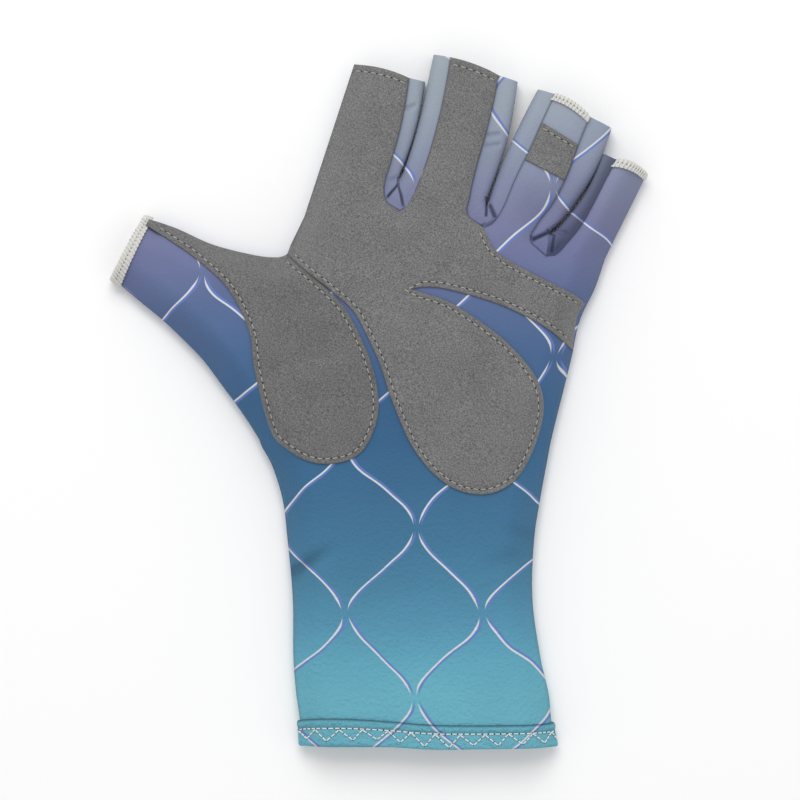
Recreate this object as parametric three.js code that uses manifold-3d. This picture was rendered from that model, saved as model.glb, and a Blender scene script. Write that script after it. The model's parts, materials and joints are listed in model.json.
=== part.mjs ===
// A fingerless sun glove for fishing, for the left hand, lying palm up and empty.
// Two shells of stretch cloth meet along the side seams, three U-shaped strips close the gaps between
// the fingers, synthetic suede is laid on the palm side, and a folded hem closes the wrist end.
// Millimetres, +X towards the little finger, +Y towards the fingertips, +Z up from the table.
import * as THREE from 'three';
import { mergeVertices } from 'three/addons/utils/BufferGeometryUtils.js';
import Module from 'manifold-3d';

const wasm = await Module();
wasm.setup();

// Driving dimensions of the hand
const bodyLength = 176; // wrist end to the line of the knuckles
const originFromWristEnd = 118; // the origin lies under the middle of the palm
const palmWidth = 107; // across the knuckles, laid flat
const fingerLength = 52; // crotch to mouth, between two fingers
const indexLength = 54.7; // outer side of the index finger
const indexLean = 18.1; // degrees towards the thumb
const littleLength = 32.2; // outer side of the little finger
const littleLean = 26.3; // degrees away from the thumb
const thumbLength = 58; // root to mouth
const thumbMouth = 24; // width of the thumb's mouth
const thumbLean = 55.6; // degrees from the wrist line

// Driving dimensions of the cloth
const palmHeight = 17.5; // top of the palm above the table
const seamHeight = 4.6; // the side seams run at this height
const sideRoll = 11; // width over which the palm side rounds down to the seam
const backRoll = 6; // the same on the back of the hand
const thumbFall = 5.5; // how much lower the thumb's mouth lies than its root
const clothWall = 1;
const suedeWall = 0.9;
const clearance = 0.3; // between pieces that are sewn face to face
const gussetWidth = 8; // how far a finger strip shows beside its seam
const crotchDrop = 1.5; // the cloth dips this much to the seams between the fingers
const crotchRoll = 5;
const hemHeight = 8;
const hemWall = 1;
const bandEase = 14; // the back rises over this length to lie on top of the hem and the thumb's edging
const edgingWidth = 2.4; // overlocked edge at a mouth
const edgingWall = 0.8;

// Outline of the hand: along is a share of bodyLength, left and right are shares of palmWidth.
const sideRows = [
  { along: 0.0, left: -0.362, right: 0.448 },
  { along: 0.05, left: -0.367, right: 0.435 },
  { along: 0.1, left: -0.379, right: 0.427 },
  { along: 0.17, left: -0.388, right: 0.401 },
  { along: 0.286, left: -0.39, right: 0.375 },
  { along: 0.402, left: -0.407, right: 0.381 },
  { along: 0.479, left: -0.423, right: 0.4 },
  { along: 0.545, left: -0.457, right: 0.42 },
  { along: 0.593, left: -0.496, right: 0.435 },
  { along: 0.672, left: -0.496, right: 0.467 },
  { along: 0.75, left: -0.48, right: 0.499 },
  { along: 0.826, left: -0.45, right: 0.527 },
  { along: 0.888, left: -0.43, right: 0.575 },
  { along: 0.945, left: -0.407, right: 0.607 },
];
const thumbRoot = { along: 0.593, across: -0.496 };
const thumbCrotch = { along: 0.954, across: -0.407 };
const indexRoot = { along: 1.026, across: -0.35 };
const littleRoot = { along: 0.945, across: 0.607 };

// Height of the palm side: along is a share of bodyLength, crown a share of palmHeight.
const crownRows = [
  { along: 0.0, crown: 0.72 },
  { along: 0.08, crown: 0.72 },
  { along: 0.25, crown: 0.8 },
  { along: 0.45, crown: 0.9 },
  { along: 0.65, crown: 1.0 },
  { along: 0.85, crown: 0.98 },
  { along: 1.02, crown: 0.88 },
  { along: 1.18, crown: 0.76 },
  { along: 1.36, crown: 0.66 },
];

// Folds and hollows of the palm side: place and length as shares of bodyLength and palmWidth,
// turn in degrees from the wrist line, depth a share of palmHeight.
const foldRows = [
  { along: 0.362, across: -0.345, turn: 28, length: 0.16, width: 0.035, depth: 0.16 },
  { along: 0.411, across: 0.335, turn: -12, length: 0.16, width: 0.03, depth: 0.14 },
  { along: 0.37, across: 0.3, turn: 20, length: 0.1, width: 0.03, depth: 0.08 },
  { along: 0.68, across: 0.02, turn: 80, length: 0.6, width: 0.2, depth: 0.07 },
];

// Gaps between the fingers. across and along place the seam's lowest point, lean is in degrees,
// depth is a share of fingerLength, reach is each side's length as a share of that depth,
// and slitStart is where the gap opens in the back. In rows, at is the share of the way to the mouth,
// and near, far, slit and gap are sideways shares of gussetWidth: the seam of the finger on the thumb's
// side and of the other finger, the middle of the gap, and its width.
const gapRows = [
  {
    name: 'fourchette_index_middle', across: -0.048, along: 1.035, lean: 11.8, depth: 1.035,
    reachNear: 0.84, reachFar: 1.02, slitStart: 0.2,
    rows: [
      { at: 0, near: 0, far: 0, slit: -0.31, gap: 0 },
      { at: 0.04, near: 0.6, far: 0.27, slit: -0.27, gap: 0.12 },
      { at: 0.16, near: 0.87, far: 0.5, slit: -0.17, gap: 0.13 },
      { at: 0.36, near: 0.8, far: 0.71, slit: -0.06, gap: 0.13 },
      { at: 0.58, near: 0.72, far: 0.82, slit: 0, gap: 0.14 },
      { at: 0.8, near: 0.73, far: 0.84, slit: 0, gap: 0.15 },
      { at: 1, near: 0.8, far: 0.79, slit: -0.02, gap: 0.2 },
    ],
  },
  {
    name: 'fourchette_middle_ring', across: 0.219, along: 1.003, lean: 17, depth: 0.985,
    reachNear: 1, reachFar: 0.99, slitStart: 0.14,
    rows: [
      { at: 0, near: 0, far: 0, slit: -0.18, gap: 0 },
      { at: 0.04, near: 0.78, far: 0.29, slit: -0.18, gap: 0.12 },
      { at: 0.16, near: 0.97, far: 0.54, slit: -0.16, gap: 0.13 },
      { at: 0.36, near: 1.07, far: 0.67, slit: -0.1, gap: 0.14 },
      { at: 0.58, near: 1.1, far: 0.89, slit: -0.03, gap: 0.3 },
      { at: 0.8, near: 1.18, far: 1.07, slit: 0, gap: 0.62 },
      { at: 1, near: 1.31, far: 1.25, slit: 0.02, gap: 0.99 },
    ],
  },
  {
    name: 'fourchette_ring_little', across: 0.416, along: 0.947, lean: 26.5, depth: 0.96,
    reachNear: 0.99, reachFar: 0.81, slitStart: 0.15,
    rows: [
      { at: 0, near: 0, far: 0, slit: -0.32, gap: 0 },
      { at: 0.04, near: 0.85, far: 0.32, slit: -0.25, gap: 0.12 },
      { at: 0.16, near: 0.96, far: 0.53, slit: -0.06, gap: 0.13 },
      { at: 0.36, near: 0.76, far: 0.76, slit: 0.13, gap: 0.13 },
      { at: 0.58, near: 0.76, far: 0.82, slit: 0.24, gap: 0.13 },
      { at: 0.8, near: 0.91, far: 0.83, slit: 0.2, gap: 0.15 },
      { at: 1, near: 1, far: 0.87, slit: 0.08, gap: 0.2 },
    ],
  },
];

// Sides of the thumb: along is a share of thumbLength from the root, upper and lower are sideways
// shares of half of thumbMouth.
const thumbUpperRows = [
  { along: 0.276, out: 2.18 },
  { along: 0.394, out: 1.86 },
  { along: 0.635, out: 1.43 },
  { along: 0.862, out: 1.23 },
  { along: 1.03, out: 1.0 },
];
const thumbLowerRows = [
  { along: -0.119, out: -2.15 },
  { along: 0.014, out: -1.91 },
  { along: 0.152, out: -1.68 },
  { along: 0.291, out: -1.45 },
  { along: 0.45, out: -1.29 },
  { along: 0.618, out: -1.16 },
  { along: 0.799, out: -1.08 },
  { along: 0.969, out: -1.0 },
];

// Outlines of the suede, seen from above: across is a share of palmWidth, along of bodyLength.
// They run past the cloth's own edges where the suede is sewn into a seam.
const thumbPatchRows = [
  { across: -0.717, along: 0.956 },
  { across: -0.594, along: 0.885 },
  { across: -0.527, along: 0.804 },
  { across: -0.507, along: 0.723 },
  { across: -0.458, along: 0.611 },
  { across: -0.407, along: 0.576 },
  { across: -0.342, along: 0.553 },
  { across: -0.276, along: 0.547 },
  { across: -0.205, along: 0.556 },
  { across: -0.156, along: 0.58 },
  { across: -0.118, along: 0.646 },
  { across: -0.133, along: 0.717 },
  { across: -0.205, along: 0.823 },
  { across: -0.303, along: 0.889 },
  { across: -0.418, along: 0.95 },
];
const thumbPatchOuter = [
  { across: -0.43, along: 1.0 },
  { across: -0.6, along: 1.03 },
];
// The suede strip ends at the thumb's edging, over this share of the mouth and past its seam.
const thumbPatchEnd = { from: 0.76, to: 1.4 };
const palmPatchTongue = [
  { across: -0.4, along: 0.95 },
  { across: -0.292, along: 0.896 },
  { across: -0.194, along: 0.837 },
  { across: -0.124, along: 0.755 },
  { across: -0.076, along: 0.674 },
  { across: -0.003, along: 0.574 },
  { across: 0.099, along: 0.508 },
  { across: 0.214, along: 0.488 },
  { across: 0.311, along: 0.512 },
  { across: 0.375, along: 0.574 },
  { across: 0.408, along: 0.651 },
  { across: 0.384, along: 0.713 },
  { across: 0.292, along: 0.781 },
  { across: 0.165, along: 0.839 },
  { across: 0.09, along: 0.864 },
  { across: 0.019, along: 0.878 },
];
const palmPatchBandLower = [
  { across: 0.025, along: 0.888 },
  { across: 0.099, along: 0.884 },
  { across: 0.264, along: 0.855 },
  { across: 0.41, along: 0.811 },
  { across: 0.504, along: 0.766 },
];
const palmPatchBandEnd = [
  { across: 0.516, along: 0.829 },
  { across: 0.543, along: 0.857 },
];
const palmPatchBandUpper = [
  { across: 0.515, along: 0.87 },
  { across: 0.454, along: 0.889 },
  { across: 0.342, along: 0.924 },
  { across: 0.257, along: 0.958 },
  { across: 0.216, along: 1.003 },
];
const palmPatchFingers = [
  { across: 0.4, along: 1.33 },
  { across: 0.05, along: 1.42 },
  { across: -0.26, along: 1.4 },
  { across: -0.5, along: 1.0 },
];
// The patch on the ring finger runs from seam to seam, between these shares of the way to the mouth.
const ringPatch = { nearFrom: 0.6, nearTo: 0.83, farFrom: 0.505, farTo: 0.79, past: 0.06 };

// How finely the cloth is divided
const fingerSteps = [0, 0.04, 0.16, 0.36, 0.58, 0.8, 1];
const thumbSteps = [0, 0.12, 0.3, 0.5, 0.72, 1];
const rootSteps = [0, 0.07, 0.19, 0.34, 0.5, 0.66, 0.81, 0.93, 1];
const wristSteps = 8;
const indexColumns = [0, 0.06, 0.16, 0.3, 0.52, 0.78, 1];
const innerColumns = [0, 0.2, 0.5, 0.8, 1];
const littleColumns = indexColumns.map((step) => 1 - step).reverse();
const backIndexColumns = [0, 0.07, 0.2, 0.5, 1];
const backInnerColumns = [0, 0.5, 1];
const backLittleColumns = backIndexColumns.map((step) => 1 - step).reverse();

const place = ({ across, along }) =>
  new THREE.Vector2(across * palmWidth, along * bodyLength - originFromWristEnd);

// Value of a column at a share of the way, on a smooth curve through the rows.
function column(rows, key, name, at) {
  if (at <= rows[0][key]) return rows[0][name];
  const last = rows[rows.length - 1];
  if (at >= last[key]) return last[name];
  const next = rows.findIndex((row) => row[key] > at);
  const [a, b] = [rows[next - 1], rows[next]];
  const before = rows[next - 2] ?? a;
  const after = rows[next + 1] ?? b;
  const span = b[key] - a[key];
  const share = (at - a[key]) / span;
  const slopeA = ((b[name] - before[name]) / (b[key] - before[key])) * span;
  const slopeB = ((after[name] - a[name]) / (after[key] - a[key])) * span;
  const square = share * share;
  const cube = square * share;
  return a[name] * (2 * cube - 3 * square + 1) + slopeA * (cube - 2 * square + share)
    + b[name] * (3 * square - 2 * cube) + slopeB * (cube - square);
}

const ease = (share) => {
  const kept = Math.min(1, Math.max(0, share));
  return kept * kept * (3 - 2 * kept);
};
const rise = (share) => Math.sin((Math.PI / 2) * Math.min(1, Math.max(0, share)));

// Plan position beside a line that leans from +Y towards +X.
function beside(start, leanDegrees, forward, sideways) {
  const lean = THREE.MathUtils.degToRad(leanDegrees);
  return new THREE.Vector2(
    start.x + forward * Math.sin(lean) + sideways * Math.cos(lean),
    start.y + forward * Math.cos(lean) - sideways * Math.sin(lean),
  );
}

// The seam and the slit of one gap between two fingers, from the crotch to each mouth.
function gapLines(gap) {
  const start = place(gap);
  const depth = gap.depth * fingerLength;
  const seam = (side, reach) => (at) => beside(
    start, gap.lean, at * reach * depth,
    side * column(gap.rows, 'at', side < 0 ? 'near' : 'far', at) * gussetWidth,
  );
  const slit = (side, reach) => (at) => beside(
    start, gap.lean, (gap.slitStart + (reach - gap.slitStart) * at) * depth,
    (column(gap.rows, 'at', 'slit', at) + (side / 2) * column(gap.rows, 'at', 'gap', at)) * gussetWidth,
  );
  return {
    seamNear: seam(-1, gap.reachNear),
    seamFar: seam(1, gap.reachFar),
    slitNear: slit(-1, gap.reachNear),
    slitFar: slit(1, gap.reachFar),
  };
}

const gaps = gapRows.map(gapLines);

// Sides of the hand, each a function of the share of its own length
const indexSide = (at) => beside(place(indexRoot), indexLean, at * indexLength, 0);
const littleSide = (at) => beside(place(littleRoot), littleLean, at * littleLength, 0);
const thumbMiddle = place(thumbRoot).lerp(place(thumbCrotch), 0.5);
const thumbPoint = (row) =>
  beside(thumbMiddle, -thumbLean, row.along * thumbLength, (row.out * thumbMouth) / 2);
const thumbUpper = new THREE.SplineCurve([place(thumbCrotch), ...thumbUpperRows.map(thumbPoint)]);
const thumbLower = new THREE.SplineCurve([place(thumbRoot), ...thumbLowerRows.map(thumbPoint)]);

const wristAlong = Array.from({ length: wristSteps + 1 }, (_, step) => {
  const hemAlong = hemHeight / bodyLength;
  return hemAlong + ((thumbRoot.along - hemAlong) * step) / wristSteps;
});
const sideAt = (along, name) =>
  place({ along, across: column(sideRows, 'along', name, along) });

// Left and right ends of the rows of the hand, from the wrist end to the knuckles.
function handRows() {
  const low = [0, ...wristAlong.slice(0, -1)];
  const rows = low.map((along) => ({ left: sideAt(along, 'left'), right: sideAt(along, 'right') }));
  const rightSpan = littleRoot.along - thumbRoot.along;
  const leftSpan = indexRoot.along - thumbRoot.along;
  const rightOf = (leftAlong) =>
    sideAt(thumbRoot.along + (rightSpan * (leftAlong - thumbRoot.along)) / leftSpan, 'right');
  for (const step of rootSteps) {
    const left = place(thumbRoot).lerp(place(thumbCrotch), step);
    const along = THREE.MathUtils.lerp(thumbRoot.along, thumbCrotch.along, step);
    rows.push({ left, right: rightOf(along) });
  }
  for (const step of [0.5, 1]) {
    const left = place(thumbCrotch).lerp(place(indexRoot), step);
    const along = THREE.MathUtils.lerp(thumbCrotch.along, indexRoot.along, step);
    rows.push({ left, right: step === 1 ? place(littleRoot) : rightOf(along) });
  }
  return rows;
}

const rowsOfHand = handRows();
const rootRow = wristAlong.length;
const crotchRow = rootRow + rootSteps.length - 1;

// The plan of one side of the glove as grids of points: the hand, four fingers and the thumb.
function panelPlan(lines, columnSets) {
  const crotches = [place(indexRoot), ...lines.map((line) => line.near(0)), place(littleRoot)];
  const leanFrom = rootRow / 2;
  const hand = rowsOfHand.map(({ left, right }, row) => {
    const bend = ease((row - leanFrom) / (rowsOfHand.length - 1 - leanFrom));
    const points = [];
    columnSets.forEach((steps, finger) => {
      for (const step of finger ? steps.slice(1) : steps) {
        const share = (finger + step) / columnSets.length;
        const top = crotches[finger].clone().lerp(crotches[finger + 1], step);
        const straightTop = crotches[0].clone().lerp(crotches[crotches.length - 1], share);
        points.push(left.clone().lerp(right, share).addScaledVector(top.sub(straightTop), bend));
      }
    });
    return points;
  });
  const edges = [
    { left: indexSide, right: lines[0].near },
    { left: lines[0].far, right: lines[1].near },
    { left: lines[1].far, right: lines[2].near },
    { left: lines[2].far, right: littleSide },
  ];
  const fingers = edges.map(({ left, right }, finger) =>
    mouthSteps(finger).map((at) =>
      columnSets[finger].map((step) => left(at).lerp(right(at), step))));
  const thumb = thumbRowSteps().map((at) =>
    rootSteps.map((step) => thumbLower.getPointAt(at).lerp(thumbUpper.getPointAt(at), step)));
  return { hand, fingers, thumb };
}

// Steps along a finger, with one row where the overlocked edge of the last two fingers begins.
function mouthSteps(finger) {
  if (finger < 2) return fingerSteps;
  const edgingShare = edgingWidth / (finger === 3 ? littleLength : fingerLength);
  return [...fingerSteps.slice(0, -1), 1 - edgingShare, 1];
}

function thumbRowSteps() {
  return [...thumbSteps.slice(0, -1), 1 - edgingWidth / thumbLength, 1];
}

const palmLines = gaps.map((gap) => ({ near: gap.seamNear, far: gap.seamFar }));
const backLines = gaps.map((gap) => ({ near: gap.slitNear, far: gap.slitFar }));
const palmPlan = panelPlan(palmLines, [indexColumns, innerColumns, innerColumns, littleColumns]);
const backPlan = panelPlan(backLines, [
  backIndexColumns, backInnerColumns, backInnerColumns, backLittleColumns,
]);

// Lines that the heights are measured from
const firstOf = (rows) => rows.map((row) => row[0]);
const lastOf = (rows) => rows.map((row) => row[row.length - 1]);
const sideLines = [
  [...firstOf(palmPlan.hand.slice(0, rootRow + 1)), ...firstOf(palmPlan.thumb)],
  [...lastOf(palmPlan.thumb).reverse(), ...firstOf(palmPlan.hand.slice(crotchRow)),
    ...firstOf(palmPlan.fingers[0])],
  [...lastOf(palmPlan.hand), ...lastOf(palmPlan.fingers[3])],
];
const crotchLines = (plan) => [0, 1, 2].map((gap) =>
  [...lastOf(plan.fingers[gap]).reverse(), ...firstOf(plan.fingers[gap + 1])]);
const palmCrotches = crotchLines(palmPlan);
const backCrotches = crotchLines(backPlan);

function distanceTo(lines, point) {
  let least = Infinity;
  for (const line of lines) {
    for (let i = 1; i < line.length; i += 1) {
      const along = line[i].clone().sub(line[i - 1]);
      const offset = point.clone().sub(line[i - 1]);
      const share = Math.min(1, Math.max(0, offset.dot(along) / Math.max(along.lengthSq(), 1e-9)));
      least = Math.min(least, offset.addScaledVector(along, -share).length());
    }
  }
  return least;
}

// Depth of the folds at a point: each is a groove with soft sides that fades at both ends.
function foldDepth(point) {
  let depth = 0;
  for (const fold of foldRows) {
    const turn = THREE.MathUtils.degToRad(fold.turn);
    const offset = point.clone().sub(place(fold));
    const along = (offset.x * Math.cos(turn) + offset.y * Math.sin(turn)) / (fold.length * palmWidth);
    const out = (offset.y * Math.cos(turn) - offset.x * Math.sin(turn)) / (fold.width * bodyLength);
    depth += fold.depth * palmHeight * Math.exp(-4 * along * along - out * out);
  }
  return depth;
}

// Share of the way from the root of the thumb to its mouth
const thumbAxis = beside(new THREE.Vector2(), -thumbLean, 1, 0);
const alongThumb = (point) => point.clone().sub(thumbMiddle).dot(thumbAxis) / thumbLength;

function palmTop(point) {
  const along = (point.y + originFromWristEnd) / bodyLength;
  const outThumb = alongThumb(point);
  const crown = column(crownRows, 'along', 'crown', along) * palmHeight
    - thumbFall * ease(outThumb) * ease(outThumb * 4);
  const roll = rise(distanceTo(sideLines, point) / sideRoll);
  const dip = crotchDrop * (1 - rise(distanceTo(palmCrotches, point) / crotchRoll));
  return seamHeight + (crown - foldDepth(point) - seamHeight) * roll - dip;
}

// How high the back lies above the table: it rests on the bands that go round its two ends.
function backBottom(point) {
  const fromHem = point.y + originFromWristEnd - hemHeight;
  const fromEdging = (1 - alongThumb(point)) * thumbLength - 2 * edgingWidth;
  const lift = Math.max(
    (clearance + hemWall) * (1 - ease(fromHem / bandEase)),
    (2 * clearance + edgingWall) * (1 - ease(fromEdging / bandEase)),
  );
  const roll = rise(distanceTo(sideLines, point) / backRoll);
  return seamHeight - clearance + (lift - seamHeight + clearance) * roll;
}

// A sheet is a list of points, each with the way its wall is laid, and a list of four-sided faces.
function sheetOf(plan, height, up, crotches) {
  const sheet = { points: [], faces: [], grids: {} };
  const known = new Map();
  const numberOf = (point) => {
    const key = `${point.x.toFixed(3)},${point.y.toFixed(3)}`;
    if (!known.has(key)) {
      known.set(key, sheet.points.length);
      const position = new THREE.Vector3(point.x, point.y, height(point));
      sheet.points.push({ position, plan: point, normal: new THREE.Vector3(), way: null });
    }
    return known.get(key);
  };
  const addGrid = (rows) => {
    const numbers = rows.map((row) => row.map(numberOf));
    sheet.faces.push(...gridFaces(numbers));
    return numbers;
  };
  sheet.grids.hand = addGrid(plan.hand);
  sheet.grids.fingers = plan.fingers.map(addGrid);
  sheet.grids.thumb = addGrid(plan.thumb.map((row) => [...row].reverse()).map((row) => row.reverse()));
  for (const face of sheet.faces) {
    const [a, b, c, d] = face.map((number) => sheet.points[number].position);
    const normal = c.clone().sub(a).cross(d.clone().sub(b));
    if (normal.z < 0) normal.negate();
    face.forEach((number) => sheet.points[number].normal.addScaledVector(normal, up));
  }
  const touching = 1e-3;
  for (const point of sheet.points) {
    point.normal.normalize();
    point.way = point.normal.clone();
    if (distanceTo(sideLines, point.plan) < touching) point.way.setZ(0).normalize();
    else if (distanceTo(crotches, point.plan) < touching) point.way.set(0, 0, up);
  }
  return sheet;
}

function gridFaces(numbers, closed = false) {
  const faces = [];
  for (let i = 1; i < numbers.length; i += 1) {
    const [low, high] = [numbers[i - 1], numbers[i]];
    for (let j = 0; j < low.length - (closed ? 0 : 1); j += 1) {
      const next = (j + 1) % low.length;
      faces.push([low[j], low[next], high[next], high[j]]);
    }
  }
  return faces;
}

// The closed solid between two distances from a sheet, measured along each point's own way.
function wallOf(sheet, from, to) {
  const count = sheet.points.length;
  const corners = [];
  for (const distance of [to, from]) {
    for (const { position, way } of sheet.points) {
      corners.push(...position.clone().addScaledVector(way, distance).toArray());
    }
  }
  const index = [];
  const directed = new Set();
  const isOpen = ([a, b]) => !directed.has(`${b},${a}`);
  const edges = [];
  for (const face of sheet.faces) {
    const [a, b, c, d] = face;
    index.push(a, b, c, a, c, d);
    index.push(count + c, count + b, count + a, count + d, count + c, count + a);
    face.forEach((number, corner) => {
      const edge = [number, face[(corner + 1) % 4]];
      directed.add(edge.join());
      edges.push(edge);
    });
  }
  for (const [a, b] of edges.filter(isOpen)) {
    index.push(b, a, count + a, b, count + a, count + b);
  }
  return outward(corners, index);
}

// A geometry whose faces point out of the solid.
function outward(corners, index) {
  let volume = 0;
  const corner = (number) => new THREE.Vector3().fromArray(corners, number * 3);
  for (let i = 0; i < index.length; i += 3) {
    volume += corner(index[i]).dot(corner(index[i + 1]).cross(corner(index[i + 2])));
  }
  const order = volume < 0 ? index.toReversed() : index;
  const used = [...new Set(order)];
  const renumbered = new Map(used.map((number, place_) => [number, place_]));
  const geometry = new THREE.BufferGeometry();
  const kept = used.flatMap((number) => corner(number).toArray());
  geometry.setAttribute('position', new THREE.Float32BufferAttribute(kept, 3));
  geometry.setIndex(order.map((number) => renumbered.get(number)));
  return geometry;
}

// One U-shaped strip between two fingers, from just under the palm cloth down to just above the back.
function stripOf(number) {
  const tops = palmCrotches[number];
  const bottoms = backCrotches[number];
  const outlineWay = (line, i) => {
    const along = line[Math.min(i + 1, line.length - 1)].clone().sub(line[Math.max(i - 1, 0)]);
    return new THREE.Vector3(-along.y, along.x, 0).normalize();
  };
  const under = clothWall + clearance;
  const sheet = { points: [], faces: [] };
  const tidy = (line) => line.filter((point, i) => !i || point.distanceTo(line[i - 1]) > 1e-6);
  const [top, bottom] = [tidy(tops), tidy(bottoms)];
  const rows = [
    top.map((point, i) => ({
      position: new THREE.Vector3(point.x, point.y, palmTop(point) - under),
      way: outlineWay(top, i),
    })),
    bottom.map((point, i) => ({
      position: new THREE.Vector3(point.x, point.y, backBottom(point) + under),
      way: outlineWay(bottom, i),
    })),
  ];
  const numbers = rows.map((row) => row.map((point) => sheet.points.push(point) - 1));
  sheet.faces.push(...gridFaces(numbers));
  return wallOf(sheet, -clothWall, 0);
}

// A ring round both panels, made of the same rows of the palm and of the back.
function ringOf(palmRows, backRows, thickness) {
  const sheet = { points: [], faces: [] };
  const numbers = palmRows.map((row, i) => [
    ...row.map((number) => sheet.points.push(palmSheet.points[number]) - 1),
    ...backRows[i].toReversed().map((number) => sheet.points.push(backSheet.points[number]) - 1),
  ]);
  sheet.faces.push(...gridFaces(numbers, true));
  return wallOf(sheet, clearance, clearance + thickness);
}

// A band over the last row of a finger's palm side.
function barOf(finger, thickness) {
  const rows = palmSheet.grids.fingers[finger].slice(-2);
  const sheet = { points: [], faces: [] };
  const numbers = rows.map((row) =>
    row.map((number) => sheet.points.push(palmSheet.points[number]) - 1));
  sheet.faces.push(...gridFaces(numbers));
  return wallOf(sheet, clearance, clearance + thickness);
}

function solidOf(geometry) {
  const bare = geometry.clone();
  for (const name of Object.keys(bare.attributes)) {
    if (name !== 'position') bare.deleteAttribute(name);
  }
  const merged = mergeVertices(bare, 1e-5);
  return new wasm.Manifold(new wasm.Mesh({
    numProp: 3,
    vertProperties: Float32Array.from(merged.attributes.position.array),
    triVerts: Uint32Array.from(merged.index.array),
  }));
}

function geometryOf(solid) {
  const mesh = solid.getMesh();
  const geometry = new THREE.BufferGeometry();
  geometry.setAttribute('position', new THREE.BufferAttribute(mesh.vertProperties, 3));
  geometry.setIndex(new THREE.BufferAttribute(mesh.triVerts, 1));
  return geometry;
}

// A suede piece: the layer just above the palm cloth, cut to an outline seen from above.
function patchOf(outline) {
  const prism = new THREE.ExtrudeGeometry(new THREE.Shape(outline), {
    depth: palmHeight * 2,
    bevelEnabled: false,
  });
  const layer = wallOf(palmSheet, clearance, clearance + suedeWall);
  return geometryOf(solidOf(layer).intersect(solidOf(prism)));
}

// A point of a line across the ring finger, at a share of the way from seam to seam.
function ringAcross(near, far, share) {
  return gaps[1].seamFar(near).lerp(gaps[2].seamNear(far), share);
}

// A point of the line where the thumb's edging begins, at a share of the mouth's width.
function thumbAcross(share) {
  const at = 1 - (edgingWidth + 2 * clearance) / thumbLength;
  return thumbLower.getPointAt(at).lerp(thumbUpper.getPointAt(at), share);
}

const curveThrough = (rows, steps) => new THREE.SplineCurve(rows.map(place)).getPoints(steps);

const palmSheet = sheetOf(palmPlan, palmTop, 1, palmCrotches);
const backSheet = sheetOf(backPlan, backBottom, -1, backCrotches);

const cloth = (color) => new THREE.MeshStandardMaterial({ color, roughness: 0.85, metalness: 0 });
const printedCloth = cloth('#4f7a9c');
const fourchetteCloth = cloth('#8590a6');
const suede = cloth('#757575');
const whiteThread = cloth('#dfe3e6');
const hemCloth = cloth('#69a6b4');

const glove = new THREE.Group();
function add(name, geometry, material) {
  const mesh = new THREE.Mesh(geometry, material);
  mesh.name = name;
  glove.add(mesh);
}

add('palm_panel', wallOf(palmSheet, -clothWall, 0), printedCloth);
add('back_panel', wallOf(backSheet, -clothWall, 0), printedCloth);
gapRows.forEach((gap, number) => add(gap.name, stripOf(number), fourchetteCloth));

add('palm_patch', patchOf([
  ...curveThrough(palmPatchTongue, 34),
  ...curveThrough(palmPatchBandLower, 10),
  ...palmPatchBandEnd.map(place),
  ...curveThrough(palmPatchBandUpper, 10),
  ...palmPatchFingers.map(place),
]), suede);
add('thumb_patch', patchOf([
  thumbAcross(thumbPatchEnd.from),
  ...curveThrough(thumbPatchRows, 36),
  ...thumbPatchOuter.map(place),
  thumbAcross(thumbPatchEnd.to),
]), suede);
add('ring_patch', patchOf([
  ringAcross(ringPatch.nearFrom, ringPatch.farFrom, -ringPatch.past),
  ringAcross(ringPatch.nearTo, ringPatch.farTo, -ringPatch.past),
  ringAcross(ringPatch.nearTo, ringPatch.farTo, 1 + ringPatch.past),
  ringAcross(ringPatch.nearFrom, ringPatch.farFrom, 1 + ringPatch.past),
]), suede);

add('ring_edging', barOf(2, edgingWall), whiteThread);
add('little_edging', barOf(3, edgingWall), whiteThread);
add('thumb_edging', ringOf(
  palmSheet.grids.thumb.slice(-2), backSheet.grids.thumb.slice(-2), edgingWall,
), whiteThread);
add('cuff_hem', ringOf(
  palmSheet.grids.hand.slice(0, 2), backSheet.grids.hand.slice(0, 2), hemWall,
), hemCloth);

export default glove;
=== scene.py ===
# A fingerless sun glove for the left hand, lying palm up and empty on a white table. Sizes are in
# millimetres unless a comment says otherwise, and MM turns them to metres as a mesh is made.
import json
import math

import bpy
import numpy as np
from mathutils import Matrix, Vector
from mathutils.geometry import delaunay_2d_cdt

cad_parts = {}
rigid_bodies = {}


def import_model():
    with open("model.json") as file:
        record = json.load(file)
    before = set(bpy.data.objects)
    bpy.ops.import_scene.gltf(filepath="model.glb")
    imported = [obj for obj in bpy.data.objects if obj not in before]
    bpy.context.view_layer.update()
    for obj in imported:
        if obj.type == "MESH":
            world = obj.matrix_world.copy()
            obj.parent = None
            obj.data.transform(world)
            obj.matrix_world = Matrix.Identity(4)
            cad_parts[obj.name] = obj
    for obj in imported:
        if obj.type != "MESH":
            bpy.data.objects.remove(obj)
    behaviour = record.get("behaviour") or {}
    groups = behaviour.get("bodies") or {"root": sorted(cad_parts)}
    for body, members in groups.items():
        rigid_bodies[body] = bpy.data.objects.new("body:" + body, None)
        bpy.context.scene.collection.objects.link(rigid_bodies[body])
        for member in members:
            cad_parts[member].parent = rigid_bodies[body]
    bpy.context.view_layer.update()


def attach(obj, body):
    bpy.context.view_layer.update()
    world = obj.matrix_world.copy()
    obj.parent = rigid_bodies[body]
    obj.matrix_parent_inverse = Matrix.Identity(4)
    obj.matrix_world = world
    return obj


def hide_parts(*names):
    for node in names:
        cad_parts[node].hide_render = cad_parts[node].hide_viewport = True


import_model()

MM = 0.001
scene = bpy.context.scene


# Camera
# A long lens hangs straight above the palm, so that the sides of the glove hardly show.
# The frame is 272 mm wide at the height of the palm.
frame_width = 272
frame_middle = (-5.1, 0.0)
palm_level = 12
lens_height = 1600
sensor_width = 36
farthest_seen = 20000

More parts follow.
